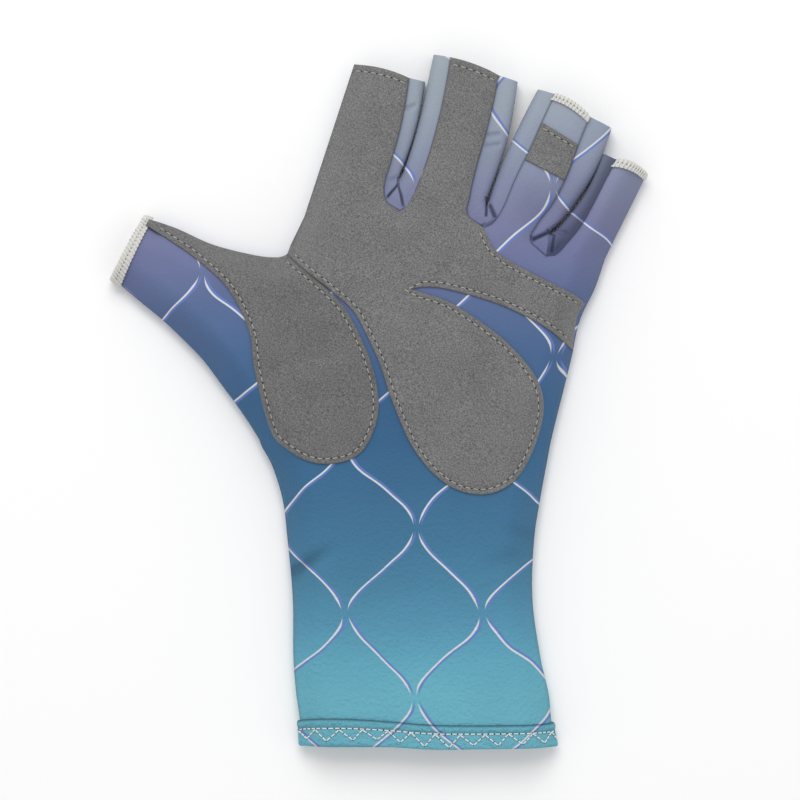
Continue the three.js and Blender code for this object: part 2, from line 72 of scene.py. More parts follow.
camera = bpy.data.objects.new("camera", bpy.data.cameras.new("camera"))
camera.data.sensor_width = sensor_width
camera.data.lens = sensor_width * lens_height / frame_width
camera.data.clip_end = farthest_seen * MM
camera.location = Vector((*frame_middle, lens_height + palm_level)) * MM
scene.collection.objects.link(camera)
scene.camera = camera


# Table and studio light
# A white table top under a pale tent, with one large soft lamp towards the fingertips. Together they
# light the table to just under white. The table lies a hair below the glove, so that they don't touch.
table_width = 4000
table_drop = 0.05
table_colour = "#fbfbfb"
tent_strength = 0.7
lamp_watts = 15.6
lamp_width = 1200
lamp_place = Vector((-100, 1050, 1450)) * MM


def linear(code):
    """sRGB hex code to linear colour: each channel by the sRGB curve, with alpha 1."""
    values = np.array([int(code[i:i + 2], 16) for i in (1, 3, 5)]) / 255
    curve = np.where(values <= 0.04045, values / 12.92, ((values + 0.055) / 1.055) ** 2.4)
    return (*curve.tolist(), 1.0)


def add_node(tree, kind, inputs=(), **settings):
    """One node of a material, with its settings. Its inputs are given by name, or in the order of those
    in use, and each is a value, a socket, or a node whose first output in use is meant."""
    made = tree.nodes.new(kind)
    for name, value in settings.items():
        setattr(made, name, value)
    if isinstance(inputs, dict):
        given = [(made.inputs[name], value) for name, value in inputs.items()]
    else:
        given = zip([socket for socket in made.inputs if socket.enabled], inputs)
    for socket, value in given:
        if isinstance(value, bpy.types.Node):
            value = next(output for output in value.outputs if output.enabled)
        if isinstance(value, bpy.types.NodeSocket):
            tree.links.new(value, socket)
        else:
            socket.default_value = value
    return made


def new_material(name):
    """An empty node material, its tree and its shader, which is already joined to the output."""
    material = bpy.data.materials.new(name)
    material.use_nodes = True
    tree = material.node_tree
    tree.nodes.clear()
    shader = add_node(tree, "ShaderNodeBsdfPrincipled")
    add_node(tree, "ShaderNodeOutputMaterial", {"Surface": shader})
    return material, tree, shader


def object_of(name, points, faces, materials):
    """A smooth mesh object from points in millimetres and faces of any number of corners."""
    faces = faces.tolist() if isinstance(faces, np.ndarray) else faces
    mesh = bpy.data.meshes.new(name)
    mesh.from_pydata((np.asarray(points) * MM).tolist(), [], faces)
    for material in materials:
        mesh.materials.append(material)
    mesh.shade_smooth()
    made = bpy.data.objects.new(name, mesh)
    scene.collection.objects.link(made)
    return made


# Laminate: an even, matt white
table_material, _, shader = new_material("white laminate")
shader.inputs["Base Color"].default_value = linear(table_colour)
shader.inputs["Roughness"].default_value = 0.8
half = table_width / 2
table = object_of(
    "table_top", [(-half, -half, 0), (half, -half, 0), (half, half, 0), (-half, half, 0)],
    [(0, 1, 2, 3)], [table_material],
)
table.location.z = -table_drop * MM

tent = bpy.data.worlds.new("tent")
tent.use_nodes = True
tent.node_tree.nodes["Background"].inputs["Color"].default_value = (1.0, 1.0, 1.0, 1.0)
tent.node_tree.nodes["Background"].inputs["Strength"].default_value = tent_strength
scene.world = tent

lamp = bpy.data.objects.new("soft_lamp", bpy.data.lights.new("soft_lamp", "AREA"))
lamp.data.energy = lamp_watts
lamp.data.size = lamp_width * MM
lamp.location = lamp_place
lamp.rotation_euler = lamp_place.to_track_quat("Z", "Y").to_euler()
scene.collection.objects.link(lamp)
scene.view_settings.view_transform = "Standard"


# Palm cloth
# Printed stretch knit of polyester and elastane, one wall for the palm side of the hand, the fingers
# and the thumb. It is sewn to the back along the sides, and to the strips between the fingers.
body_length = 176
wrist_end = -118
palm_width = 107
finger_length = 52
index_length = 54.7
index_lean = 18.1
little_length = 32.2
little_lean = 26.3
thumb_length = 58
thumb_mouth = 24
thumb_lean = 55.6
palm_height = 17.5
seam_height = 4.45
side_roll = 11
thumb_fall = 5.5
cloth_wall = 0.7
gusset_width = 8
crotch_drop = 1.5
crotch_roll = 5
hem_height = 8
edging_width = 2.4

# Points of the plan: between two rows of the hand below the thumb, and how many elsewhere
cloth_step = 1.4
thumb_columns = 48
knuckle_rows = 11
finger_rows = 42
finger_columns = 17
line_steps = 24

# The rows of the hand begin to bend at this share of their count, and the rows of a finger crowd
# towards both of its ends by this much.
bend_from = 0.55
row_crowding = 0.35

# Outline of the hand: share of body_length from the wrist end, left and right shares of palm_width.
side_rows = np.array([
    (0.0, -0.362, 0.448),
    (0.05, -0.367, 0.435),
    (0.1, -0.379, 0.427),
    (0.17, -0.388, 0.401),
    (0.286, -0.39, 0.375),
    (0.402, -0.407, 0.381),
    (0.479, -0.423, 0.4),
    (0.545, -0.457, 0.42),
    (0.593, -0.496, 0.435),
    (0.672, -0.496, 0.467),
    (0.75, -0.48, 0.499),
    (0.826, -0.45, 0.527),
    (0.888, -0.43, 0.575),
    (0.945, -0.407, 0.607),
])
thumb_root = (-0.496, 0.593)
thumb_crotch = (-0.407, 0.954)
index_root = (-0.35, 1.026)
little_root = (0.607, 0.945)

# Height of the palm side: share of body_length, share of palm_height.
crown_rows = np.array([
    (0.0, 0.72),
    (0.08, 0.72),
    (0.25, 0.8),
    (0.45, 0.9),
    (0.65, 1.0),
    (0.85, 0.98),
    (1.02, 0.88),
    (1.18, 0.76),
    (1.36, 0.66),
])

# Folds: place across and along, turn in degrees, length, width and depth as shares of
# palm_width, body_length and palm_height.
fold_rows = [
    (-0.355, 0.352, 30, 0.17, 0.013, 0.15),
    (-0.38, 0.335, 8, 0.07, 0.02, 0.08),
    (0.35, 0.41, -14, 0.12, 0.016, 0.08),
    (0.3, 0.365, 24, 0.16, 0.018, 0.06),
    (0.02, 0.68, 80, 0.6, 0.2, 0.07),
    (-0.452, 0.922, 68, 0.05, 0.012, 0.06),
    (-0.34, 0.752, 18, 0.3, 0.02, 0.035),
    (-0.37, 0.67, -25, 0.2, 0.02, 0.025),
    (0.14, 0.66, 35, 0.3, 0.03, 0.025),
    (0.375, 1.045, 68, 0.16, 0.05, 0.09),
]

# Gaps between the fingers: the seam's lowest point across and along, the lean in degrees, the depth
# as a share of finger_length, each side's reach, and where the gap opens in the back.
# The rows are the share of the way to the mouth, and sideways shares of gusset_width: the seams of
# the finger on the thumb's side and of the other one, the middle of the gap, and its width.
gap_rows = [
    ((-0.048, 1.035), 11.8, 1.035, (0.84, 1.02), 0.2, np.array([
        (0, 0, 0, -0.31, 0),
        (0.04, 0.6, 0.27, -0.27, 0.12),
        (0.16, 0.87, 0.5, -0.17, 0.13),
        (0.36, 0.8, 0.71, -0.06, 0.13),
        (0.58, 0.72, 0.82, 0, 0.14),
        (0.8, 0.73, 0.84, 0, 0.15),
        (1, 0.8, 0.79, -0.02, 0.2),
    ])),
    ((0.219, 1.003), 17, 0.985, (1, 0.99), 0.14, np.array([
        (0, 0, 0, -0.18, 0),
        (0.04, 0.78, 0.29, -0.18, 0.12),
        (0.16, 0.97, 0.54, -0.16, 0.13),
        (0.36, 1.07, 0.67, -0.1, 0.14),
        (0.58, 1.1, 0.89, -0.03, 0.3),
        (0.8, 1.18, 1.07, 0, 0.62),
        (1, 1.31, 1.25, 0.02, 0.99),
    ])),
    ((0.416, 0.947), 26.5, 0.96, (0.99, 0.81), 0.15, np.array([
        (0, 0, 0, -0.32, 0),
        (0.04, 0.85, 0.32, -0.25, 0.12),
        (0.16, 0.96, 0.53, -0.06, 0.13),
        (0.36, 0.76, 0.76, 0.13, 0.13),
        (0.58, 0.76, 0.82, 0.24, 0.13),
        (0.8, 0.91, 0.83, 0.2, 0.15),
        (1, 1, 0.87, 0.08, 0.2),
    ])),
]

# Sides of the thumb: share of thumb_length from the root, sideways share of half of thumb_mouth.
thumb_upper_rows = [(0.276, 2.18), (0.394, 1.86), (0.635, 1.43), (0.862, 1.23), (1.03, 1.0)]
thumb_lower_rows = [
    (-0.119, -2.15), (0.014, -1.91), (0.152, -1.68), (0.291, -1.45),
    (0.45, -1.29), (0.618, -1.16), (0.799, -1.08), (0.969, -1.0),
]


def place(across, along):
    """Plan position of shares of the palm's width and of the body's length."""
    across, along = np.broadcast_arrays(across, along)
    return np.stack([across * palm_width, along * body_length + wrist_end], axis=-1)


def through(rows, at, value=1):
    """Smooth curve through a table: cubic pieces whose slopes at a row join the rows beside it."""
    x, y = rows[:, 0], rows[:, value]
    at = np.clip(at, x[0], x[-1])
    i = np.clip(np.searchsorted(x, at, side="right") - 1, 0, len(x) - 2)
    before, after = np.maximum(i - 1, 0), np.minimum(i + 2, len(x) - 1)
    span = x[i + 1] - x[i]
    t = (at - x[i]) / span
    slope_a = (y[i + 1] - y[before]) / (x[i + 1] - x[before]) * span
    slope_b = (y[after] - y[i]) / (x[after] - x[i]) * span
    return (y[i] * (2 * t**3 - 3 * t**2 + 1) + slope_a * (t**3 - 2 * t**2 + t)
            + y[i + 1] * (3 * t**2 - 2 * t**3) + slope_b * (t**3 - t**2))


def ease(share):
    """0 to 1 with level ends: 3t^2 - 2t^3."""
    t = np.clip(share, 0, 1)
    return t * t * (3 - 2 * t)


def rise(share):
    """0 to 1 along a quarter of a sine wave, steep first and level at the end."""
    return np.sin(np.pi / 2 * np.clip(share, 0, 1))


def smooth_line(points):
    """A uniform Catmull-Rom curve through the points, with line_steps steps between two of them."""
    p = np.asarray(points, float)
    p = np.vstack([p[:1], p, p[-1:]])
    t = np.linspace(0, 1, line_steps, endpoint=False)[:, None]
    pieces = [
        0.5 * (2 * b + (c - a) * t + (2 * a - 5 * b + 4 * c - d) * t**2
               + (3 * b - a - 3 * c + d) * t**3)
        for a, b, c, d in zip(p, p[1:], p[2:], p[3:])
    ]
    return np.vstack([*pieces, p[-1:]])


def along_line(line, share):
    """Points at shares of a line's length."""
    lengths = np.r_[0, np.cumsum(np.linalg.norm(np.diff(line, axis=0), axis=1))]
    at = np.asarray(share) * lengths[-1]
    return np.stack([np.interp(at, lengths, line[:, k]) for k in range(line.shape[1])], axis=-1)


def beside(start, lean, forward, sideways):
    """Plan position beside a line that leans from +Y towards +X."""
    turn = math.radians(lean)
    forward, sideways = np.broadcast_arrays(forward, sideways)
    return np.stack([
        start[0] + forward * math.sin(turn) + sideways * math.cos(turn),
        start[1] + forward * math.cos(turn) - sideways * math.sin(turn),
    ], axis=-1)


def seam_line(gap, far, at):
    """Edge of the palm cloth at a gap, on the near or far finger, at shares of the way to the mouth."""
    start, lean, depth, reach, _, rows = gap_rows[gap]
    forward = np.asarray(at) * reach[far] * depth * finger_length
    sideways = (2 * far - 1) * through(rows, at, 1 + far) * gusset_width
    return beside(place(*start), lean, forward, sideways)


def slit_line(gap, far, at):
    """Edge of the back cloth at a gap, on the near or far finger."""
    start, lean, depth, reach, opens, rows = gap_rows[gap]
    forward = (opens + (reach[far] - opens) * np.asarray(at)) * depth * finger_length
    sideways = (through(rows, at, 3) + (far - 0.5) * through(rows, at, 4)) * gusset_width
    return beside(place(*start), lean, forward, sideways)


def index_side(at):
    """Outer side of the index finger: a straight line from its root."""
    return beside(place(*index_root), index_lean, np.asarray(at) * index_length, 0)


def little_side(at):
    """Outer side of the little finger: a straight line from its root."""
    return beside(place(*little_root), little_lean, np.asarray(at) * little_length, 0)


thumb_middle = (place(*thumb_root) + place(*thumb_crotch)) / 2


def thumb_points(rows):
    """Plan positions of rows of the thumb, from shares of its length and of half its mouth."""
    table_rows = np.array(rows)
    return beside(thumb_middle, -thumb_lean, table_rows[:, 0] * thumb_length,
                  table_rows[:, 1] * thumb_mouth / 2)


thumb_upper = smooth_line(np.vstack([place(*thumb_crotch), thumb_points(thumb_upper_rows)]))
thumb_lower = smooth_line(np.vstack([place(*thumb_root), thumb_points(thumb_lower_rows)]))

# Ends of the rows of the hand, from the wrist end to the knuckles
root_along, crotch_along = thumb_root[1], thumb_crotch[1]
low_rows = np.linspace(0, root_along, round(root_along * body_length / cloth_step) + 1)
root_steps = np.linspace(0, 1, thumb_columns)
top_steps = np.linspace(0, 1, knuckle_rows)[1:]
root_line = place(*thumb_root) + root_steps[:, None] * (place(*thumb_crotch) - place(*thumb_root))
top_line = place(*thumb_crotch) + top_steps[:, None] * (place(*index_root) - place(*thumb_crotch))
left_along = np.r_[
    low_rows,
    root_along + root_steps[1:] * (crotch_along - root_along),
    crotch_along + top_steps * (index_root[1] - crotch_along),
]
left_ends = np.vstack([place(through(side_rows, low_rows, 1), low_rows), root_line[1:], top_line])
right_share = (little_root[1] - root_along) / (index_root[1] - root_along)
right_along = np.where(left_along < root_along, left_along,
                       root_along + (left_along - root_along) * right_share)
right_ends = place(through(side_rows, right_along, 2), right_along)


def panel_plan(edge, columns):
    """Grids of one side of the glove in plan: the hand, four fingers and the thumb.

    A hand row runs straight from its left to its right end, and bends towards the knuckles into the
    line through the lowest points of the gaps. A finger or thumb row runs straight across.
    """
    lowest = [edge(gap, 0, 0.0) for gap in range(3)]
    corners = [place(*index_root), *lowest, place(*little_root)]
    step = np.linspace(0, 1, columns)
    share = np.r_[[(k + s) / 4 for k in range(4) for s in step[1 if k else 0:]]]
    top = np.vstack([
        corners[k] + step[1 if k else 0:, None] * (corners[k + 1] - corners[k]) for k in range(4)
    ])
    straight = corners[0] + share[:, None] * (corners[4] - corners[0])
    bend = ease((left_along / left_along[-1] - bend_from) / (1 - bend_from))[:, None, None]
    rows = left_ends[:, None] * (1 - share[:, None]) + right_ends[:, None] * share[:, None]
    hand = rows + bend * (top - straight)
    sides = [
        (index_side, lambda at: edge(0, 0, at)),
        (lambda at: edge(0, 1, at), lambda at: edge(1, 0, at)),
        (lambda at: edge(1, 1, at), lambda at: edge(2, 0, at)),
        (lambda at: edge(2, 1, at), little_side),
    ]
    even = np.linspace(0, 1, finger_rows)
    at = ease(even) * row_crowding + even * (1 - row_crowding)
    fingers = [
        left(at)[:, None] * (1 - step[:, None]) + right(at)[:, None] * step[:, None]
        for left, right in sides
    ]
    lower, upper = along_line(thumb_lower, even), along_line(thumb_upper, even)
    thumb = lower[:, None] * (1 - root_steps[:, None]) + upper[:, None] * root_steps[:, None]
    return [hand, *fingers, thumb]


palm_plan = panel_plan(seam_line, finger_columns)
hand_grid, *finger_grids, thumb_grid = palm_plan
root_row = len(low_rows)
crotch_row = root_row + len(root_steps) - 2

# The seams of the sides, and those round the gaps between the fingers, with some points left out
side_lines = [
    np.vstack([hand_grid[:root_row:3, 0], thumb_grid[::3, 0], thumb_grid[-1:, 0]]),
    np.vstack([thumb_grid[::-3, -1], hand_grid[crotch_row:, 0], finger_grids[0][1::3, 0],
               finger_grids[0][-1:, 0]]),
    np.vstack([hand_grid[::3, -1], hand_grid[-1:, -1], finger_grids[3][::3, -1],
               finger_grids[3][-1:, -1]]),
]
crotch_lines = [
    np.vstack([finger_grids[gap][::-2, -1], finger_grids[gap][:1, -1], finger_grids[gap + 1][1::2, 0]])
    for gap in range(3)
]


def distance_to(lines, points):
    """Least distance from each point to the lines: the foot of the perpendicular on each stretch."""
    flat = points.reshape(-1, 2)
    least = np.full(len(flat), np.inf)
    for line in lines:
        for start, way in zip(line[:-1], np.diff(line, axis=0)):
            offset = flat - start
            share = np.clip(offset @ way / max(way @ way, 1e-9), 0, 1)
            least = np.minimum(least, np.linalg.norm(offset - share[:, None] * way, axis=1))
    return least.reshape(points.shape[:-1])


# Ripples: waves per metre across and along, and their depth
ripple_rows = [
    (31, 17, 0.10), (-22, 26, 0.09), (11, -37, 0.07), (43, 9, 0.05), (-15, -51, 0.05), (60, 33, 0.03),
]
ripple_phase = 1.7


def ripples(points):
    """Soft unevenness of lying cloth: a sum of sine waves, each a phase later than the last."""
    x, y = points[..., 0] * MM, points[..., 1] * MM
    return sum(
        depth * np.sin(2 * np.pi * (across * x + along * y) + ripple_phase * number)
        for number, (across, along, depth) in enumerate(ripple_rows)
    )


def fold_depth(points):
    """Depth of the folds: each is a groove that fades as a bell curve across it and at its ends."""
    depth = np.zeros(points.shape[:-1])
    for across, along, turn, length, width, deep in fold_rows:
        c, s = math.cos(math.radians(turn)), math.sin(math.radians(turn))
        offset = points - place(across, along)
        run = (offset[..., 0] * c + offset[..., 1] * s) / (length * palm_width)
        out = (offset[..., 1] * c - offset[..., 0] * s) / (width * body_length)
        depth += deep * palm_height * np.exp(-4 * run**2 - out**2)
    return depth


def along_thumb(points):
    """Share of the way from the thumb's root to its mouth."""
    axis = beside((0.0, 0.0), -thumb_lean, 1, 0)
    return (points - thumb_middle) @ axis / thumb_length


def palm_top(points):
    """Height of the palm side: a crown that falls towards the thumb's mouth and rounds down to the side
    seams along a quarter sine, dips at the seams between the fingers, and has folds and ripples."""
    along = (points[..., 1] - wrist_end) / body_length
    out = along_thumb(points)
    crown = through(crown_rows, along) * palm_height - thumb_fall * ease(out) * ease(out * 4)
    roll = rise(distance_to(side_lines, points) / side_roll)
    dip = crotch_drop * (1 - rise(distance_to(crotch_lines, points) / crotch_roll))
    wave = (ripples(points) - fold_depth(points)) * roll
    return seam_height + (crown - seam_height) * roll - dip + wave


def grid_faces(rows, columns, start=0, closed_rows=False, closed_columns=False):
    """Faces of a grid of points, numbered row by row from start."""
    i = np.arange(rows if closed_rows else rows - 1)[:, None]
    j = np.arange(columns if closed_columns else columns - 1)[None, :]
    a = i * columns + j
    b = i * columns + (j + 1) % columns
    c = (i + 1) % rows * columns + (j + 1) % columns
    d = (i + 1) % rows * columns + j
    return np.stack([a, b, c, d], axis=-1).reshape(-1, 4) + start


def joined(grids):
    """Points and faces of several plan grids. Points that are the same to a thousandth of a millimetre,
    where two grids meet, are made one."""
    points = np.vstack([grid.reshape(-1, 2) for grid in grids])
    starts = np.cumsum([0] + [grid.shape[0] * grid.shape[1] for grid in grids])
    faces = np.vstack([
        grid_faces(*grid.shape[:2], start=first) for grid, first in zip(grids, starts)
    ])
    _, kept, place_of = np.unique(points.round(3), axis=0, return_index=True, return_inverse=True)
    return points[kept], place_of.reshape(-1)[faces]


def add_shade(made, values):
    """Stores painted shade for each point, from 0 to 1, as the attribute crease: the cloth's material
    darkens its colour by it where creases, folds, seams and gaps lie in shade.
    """
    store = made.data.attributes.new("crease", "FLOAT", "POINT")
    store.data.foreach_set("value", np.ascontiguousarray(values, np.float32).reshape(-1))


def add_cloth_wall(made):
    """Gives an open sheet its wall, from its outer face inwards, with the second material inside."""
    wall = made.modifiers.new("wall", "SOLIDIFY")
    wall.thickness = cloth_wall * MM
    wall.offset = -1
    wall.material_offset = 1


# The print runs from slate grey at the fingertips over violet and steel blue to turquoise at the
# wrist. Each stop is a height along +Y and its colour, and they lie within print_reach of the origin.
print_stops = [
    (115, "#9ba5af"), (98, "#949dab"), (85, "#8a92a6"), (73, "#8086a1"), (62, "#787b9b"),
    (52, "#6f7498"), (42, "#656f95"), (30, "#576b92"), (16, "#4b678f"), (0, "#3d648b"),
    (-14, "#3b668c"), (-34, "#406d90"), (-48, "#447596"), (-62, "#4a809e"), (-76, "#5590ac"),
    (-89, "#60a3b9"), (-100, "#67abbd"), (-118, "#69adbf"),
]
print_reach = 120

# The dye took a little unevenly: soft clouds of this width, between two tones
cloud_width = 28.57
cloud_tones = (0.92, 1.08)

# A trellis of brushed strokes: its cells, how far a line swings and sways, and over what length.
# The pattern's edge is this many cells aside, off the glove.
trellis_width = 24.0
trellis_length = 58.0
trellis_swing = 0.46 * trellis_width
trellis_sway = 3.5
sway_width = 25
cells_aside = 500

# A stroke's half width grows by the first value from its end to its middle, starts at the second,
# and is at most the third. The blue one lies beside the white one.
blue_stroke = (1.5, -0.04, 0.68)
white_stroke = (1.25, -0.1, 0.54)
blue_shift = -0.95
stroke_softness = 0.22
blue_share = 0.85
stroke_blue = "#667cbe"
stroke_white = "#d2d6d9"

# The knit's relief: ribs, and dimples that grow from the palm to the wrist
rib_spacing = 0.7
rib_height = 0.6
dimple_width = 1.5
dimples_from, dimples_to = 20, -70
dimples_least, dimples_most = 0.5, 3.0
knit_relief = 0.22
# Painted shade: the dark colour that the knit goes towards where it lies in shade, and how far at most
painted_shade_colour = "#22293d"
painted_shade_share = 0.85

# The inside of the cloth: how far the dye is lightened, and how deep its dimples are
undyed_colour = "#dfe4ea"
undyed_share = 0.72
undyed_dimples = 0.5


def position_in_mm(tree):
    """The point's own place on the glove in millimetres."""
    coordinates = add_node(tree, "ShaderNodeTexCoord")
    return add_node(tree, "ShaderNodeVectorMath", {
        "Vector": coordinates.outputs["Object"], "Scale": 1 / MM,
    }, operation="SCALE")


def faded_colour(tree, position, split):
    """Colour of the cloth: the gradient along Y, a little lighter and darker in soft clouds."""
    above = add_node(tree, "ShaderNodeMath", (split.outputs[1], print_reach), operation="ADD")
    along = add_node(tree, "ShaderNodeMath", (above, 2 * print_reach), operation="DIVIDE")
    ramp = add_node(tree, "ShaderNodeValToRGB", (along,))
    stops = sorted(((y + print_reach) / (2 * print_reach), linear(code)) for y, code in print_stops)
    while len(ramp.color_ramp.elements) < len(stops):
        ramp.color_ramp.elements.new(0.5)
    for element, (at, colour) in zip(ramp.color_ramp.elements, stops):
        element.position = at
        element.color = colour
    cloud = add_node(tree, "ShaderNodeTexNoise", {
        "Vector": position, "Scale": 1 / cloud_width, "Detail": 3.0,
    })
    low, high = cloud_tones
    tone = add_node(tree, "ShaderNodeMath", (cloud, high - low, low), operation="MULTIPLY_ADD")
    return add_node(tree, "ShaderNodeHueSaturation", {"Value": tone, "Color": ramp})


def trellis_colour(tree, position, split, colour):
    """The cloth's colour under a trellis of brushed strokes.

    Two families of sine waves, x = A sin(2 pi y / L), lean on each other to a trellis of ogees. Each
    stroke is thickest at its middle and runs out where it would touch the next, and a pale stroke
    has a blue one close on its right, which is a little longer.
    """
    wander = add_node(tree, "ShaderNodeTexNoise", {
        "Vector": position, "Scale": 1 / sway_width, "Detail": 1.0,
    })
    sway = add_node(tree, "ShaderNodeMath", (wander, 2 * trellis_sway, -trellis_sway),
                    operation="MULTIPLY_ADD")
    turn = add_node(tree, "ShaderNodeMath", (split.outputs[1], 2 * math.pi / trellis_length),
                    operation="MULTIPLY")
    wave = add_node(tree, "ShaderNodeMath", (turn,), operation="SINE")
    swing = add_node(tree, "ShaderNodeMath", (wave, trellis_swing), operation="MULTIPLY")
    across = add_node(tree, "ShaderNodeMath", (split, sway), operation="ADD")
    slope = add_node(tree, "ShaderNodeMath", (turn,), operation="COSINE")
    steep = add_node(tree, "ShaderNodeMath", (slope,), operation="ABSOLUTE")
    offsets = []
    for side in (-1, 1):
        placed = add_node(tree, "ShaderNodeMath", (swing, side, across), operation="MULTIPLY_ADD")
        shifted = add_node(tree, "ShaderNodeMath", (
            placed, (0.5 * side + cells_aside) * trellis_width), operation="ADD")
        wrapped = add_node(tree, "ShaderNodeMath", (shifted, 2 * trellis_width), operation="MODULO")
        offsets.append(add_node(tree, "ShaderNodeMath", (wrapped, trellis_width), operation="SUBTRACT"))
    strokes = []
    for shift, (growth, start, widest) in ((blue_shift, blue_stroke), (0, white_stroke)):
        grown = add_node(tree, "ShaderNodeMath", (steep, growth, start), operation="MULTIPLY_ADD")
        width = add_node(tree, "ShaderNodeMath", (grown, widest), operation="MINIMUM")
        lines = []
        for offset in offsets:
            moved = add_node(tree, "ShaderNodeMath", (offset, shift), operation="ADD")
            far = add_node(tree, "ShaderNodeMath", (moved,), operation="ABSOLUTE")
            room = add_node(tree, "ShaderNodeMath", (width, far), operation="SUBTRACT")
            edge = add_node(tree, "ShaderNodeMath", (room, stroke_softness), operation="DIVIDE")
            lines.append(add_node(tree, "ShaderNodeClamp", (edge,)))
        strokes.append(add_node(tree, "ShaderNodeMath", lines, operation="MAXIMUM"))
    blue, white = strokes
    thin_blue = add_node(tree, "ShaderNodeMath", (blue, blue_share), operation="MULTIPLY")
    colour = add_node(tree, "ShaderNodeMix", (thin_blue, colour, linear(stroke_blue)), data_type="RGBA")
    return add_node(tree, "ShaderNodeMix", (white, colour, linear(stroke_white)), data_type="RGBA")


def knit_bump(tree, position, split, dimple_depth):
    """Relief of a fine knit: small ribs, and soft dimples that grow towards the wrist.

    The real stitches are about 0.35 mm apart and too fine to show, so they are drawn coarser.
    """
    ribs = add_node(tree, "ShaderNodeTexVoronoi", {"Vector": position, "Scale": 1 / rib_spacing})
    dimples = add_node(tree, "ShaderNodeTexNoise", {
        "Vector": position, "Scale": 1 / dimple_width, "Detail": 2.0, "Roughness": 0.6,
    })
    towards_wrist = add_node(tree, "ShaderNodeMapRange", (
        split.outputs[1], dimples_from, dimples_to, dimples_least, dimples_most,
    ))
    depth = add_node(tree, "ShaderNodeMath", (towards_wrist, dimple_depth), operation="MULTIPLY")
    dimple = add_node(tree, "ShaderNodeMath", (dimples, depth), operation="MULTIPLY")
    height = add_node(tree, "ShaderNodeMath", (ribs, rib_height, dimple), operation="MULTIPLY_ADD")
    return add_node(tree, "ShaderNodeBump", {
        "Strength": 0.8, "Distance": knit_relief * MM, "Height": height,
    })


def printed_knit(name, dimple_depth):
    """Sublimated polyester knit: matt, with a faint sheen where the cloth turns away.

    Its colour is darkened by painted shade in the creases, folds, seams and gaps, as much as the crease
    attribute says.
    """
    material, tree, shader = new_material(name)
    position = position_in_mm(tree)
    split = add_node(tree, "ShaderNodeSeparateXYZ", (position,))
    colour = trellis_colour(tree, position, split, faded_colour(tree, position, split))
    # Painted shade from the crease attribute darkens the print
    crease = add_node(tree, "ShaderNodeAttribute", attribute_name="crease").outputs["Fac"]
    shade = add_node(tree, "ShaderNodeMath", (crease, painted_shade_share), operation="MULTIPLY")
    colour = add_node(tree, "ShaderNodeMix", (shade, colour, linear(painted_shade_colour)), data_type="RGBA")
    tree.links.new(colour.outputs[2], shader.inputs["Base Color"])
    tree.links.new(knit_bump(tree, position, split, dimple_depth).outputs[0], shader.inputs["Normal"])
    shader.inputs["Roughness"].default_value = 0.78
    shader.inputs["Specular IOR Level"].default_value = 0.14
    shader.inputs["Sheen Weight"].default_value = 0.05
    shader.inputs["Sheen Roughness"].default_value = 0.4
    return material


def unprinted_knit():
    """The inside of the cloth: the dye hardly reaches it, so it is a pale blue grey."""
    material, tree, shader = new_material("unprinted knit inside")
    position = position_in_mm(tree)
    split = add_node(tree, "ShaderNodeSeparateXYZ", (position,))
    colour = add_node(tree, "ShaderNodeMix", (
        undyed_share, faded_colour(tree, position, split), linear(undyed_colour),
    ), data_type="RGBA")
    tree.links.new(colour.outputs[2], shader.inputs["Base Color"])
    tree.links.new(knit_bump(tree, position, split, undyed_dimples).outputs[0], shader.inputs["Normal"])
    shader.inputs["Roughness"].default_value = 0.85
    return material


print_material = printed_knit("sublimated polyester knit", 1.0)
inside_material = unprinted_knit()

# Painted shade in a fold is darkest from this share of palm_height on, and this dark
darkest_fold = 0.16
fold_shade = 0.45

points, faces = joined(palm_plan)
palm_cloth = object_of("palm_cloth", np.c_[points, palm_top(points)], faces,
                       [print_material, inside_material])
folded = np.clip(fold_depth(points) / (darkest_fold * palm_height), 0, 1)
add_shade(palm_cloth, folded ** 1.5 * fold_shade)
add_cloth_wall(palm_cloth)
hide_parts("palm_panel")
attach(palm_cloth, "root")


# Back cloth
# The same printed knit on the back of the hand. The glove lies on it, so it is flat but for the sides,
# which curl up to the seams, and the ends, which lie on the hem and on the thumb's edging.
back_roll = 6
band_ease = 14
band_lift = 1.3
edging_lift = 1.4
back_columns = 15


def back_bottom(points):
    """Height of the back's outer face: flat, rounding up to the side seams along a quarter sine."""
    from_hem = points[..., 1] - wrist_end - hem_height
    from_edging = (1 - along_thumb(points)) * thumb_length - 2 * edging_width
    lift = np.maximum(band_lift * (1 - ease(from_hem / band_ease)),
                      edging_lift * (1 - ease(from_edging / band_ease)))
    roll = rise(distance_to(side_lines, points) / back_roll)
    return seam_height + (lift - seam_height) * roll


points, faces = joined(panel_plan(slit_line, back_columns))
back_cloth = object_of("back_cloth", np.c_[points, back_bottom(points)], faces[:, ::-1],
                       [print_material, inside_material])
add_cloth_wall(back_cloth)
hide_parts("back_panel")
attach(back_cloth, "root")


# Strips between the fingers
# One strip of the knit runs down the side of a finger, round the crotch and up the next finger.
# It leaves the palm cloth level, rounds over and drops to the back, and puckers where it turns.
strip_names = ["fourchette_index_middle", "fourchette_middle_ring", "fourchette_ring_little"]
strip_shoulder = 5.0
shoulder_share = 0.8
strip_flatness = 3.2

# Points from a mouth to the crotch, where they crowd by a power, and rows of the shoulder and the
# wall. Two more rows lie close beside the seam, at these angles.
strip_points = 180
strip_crowding = 1.9
seam_angles = (0.004, 0.014)
shoulder_rows = 34
wall_rows = 10

# Shares of the strip's half length over which one finger's shape turns to the other's, and of its
# reach from seam to slit over which it sinks below its seam
strip_turn = 0.12
tuck_reach = 0.12

# Sideways bulge of the near and the far finger's strip. The ring finger's lies over the little one's.
strip_bulges = [(0.35, 0.35), (0.35, 0.35), (0.78, 0.18)]
bulge_length = 6

# Depth below the palm cloth at the near and the far finger's seam. The little finger's strip is sunk.
strip_tucks = [(0.8, 0.6), (0.8, 0.8), (0.7, 3.2)]

# Painted shade on the far finger's strip beside its seam: how dark, and over which share of its width
strip_shades = [0, 0, 0.75]
strip_shade_width = 0.5
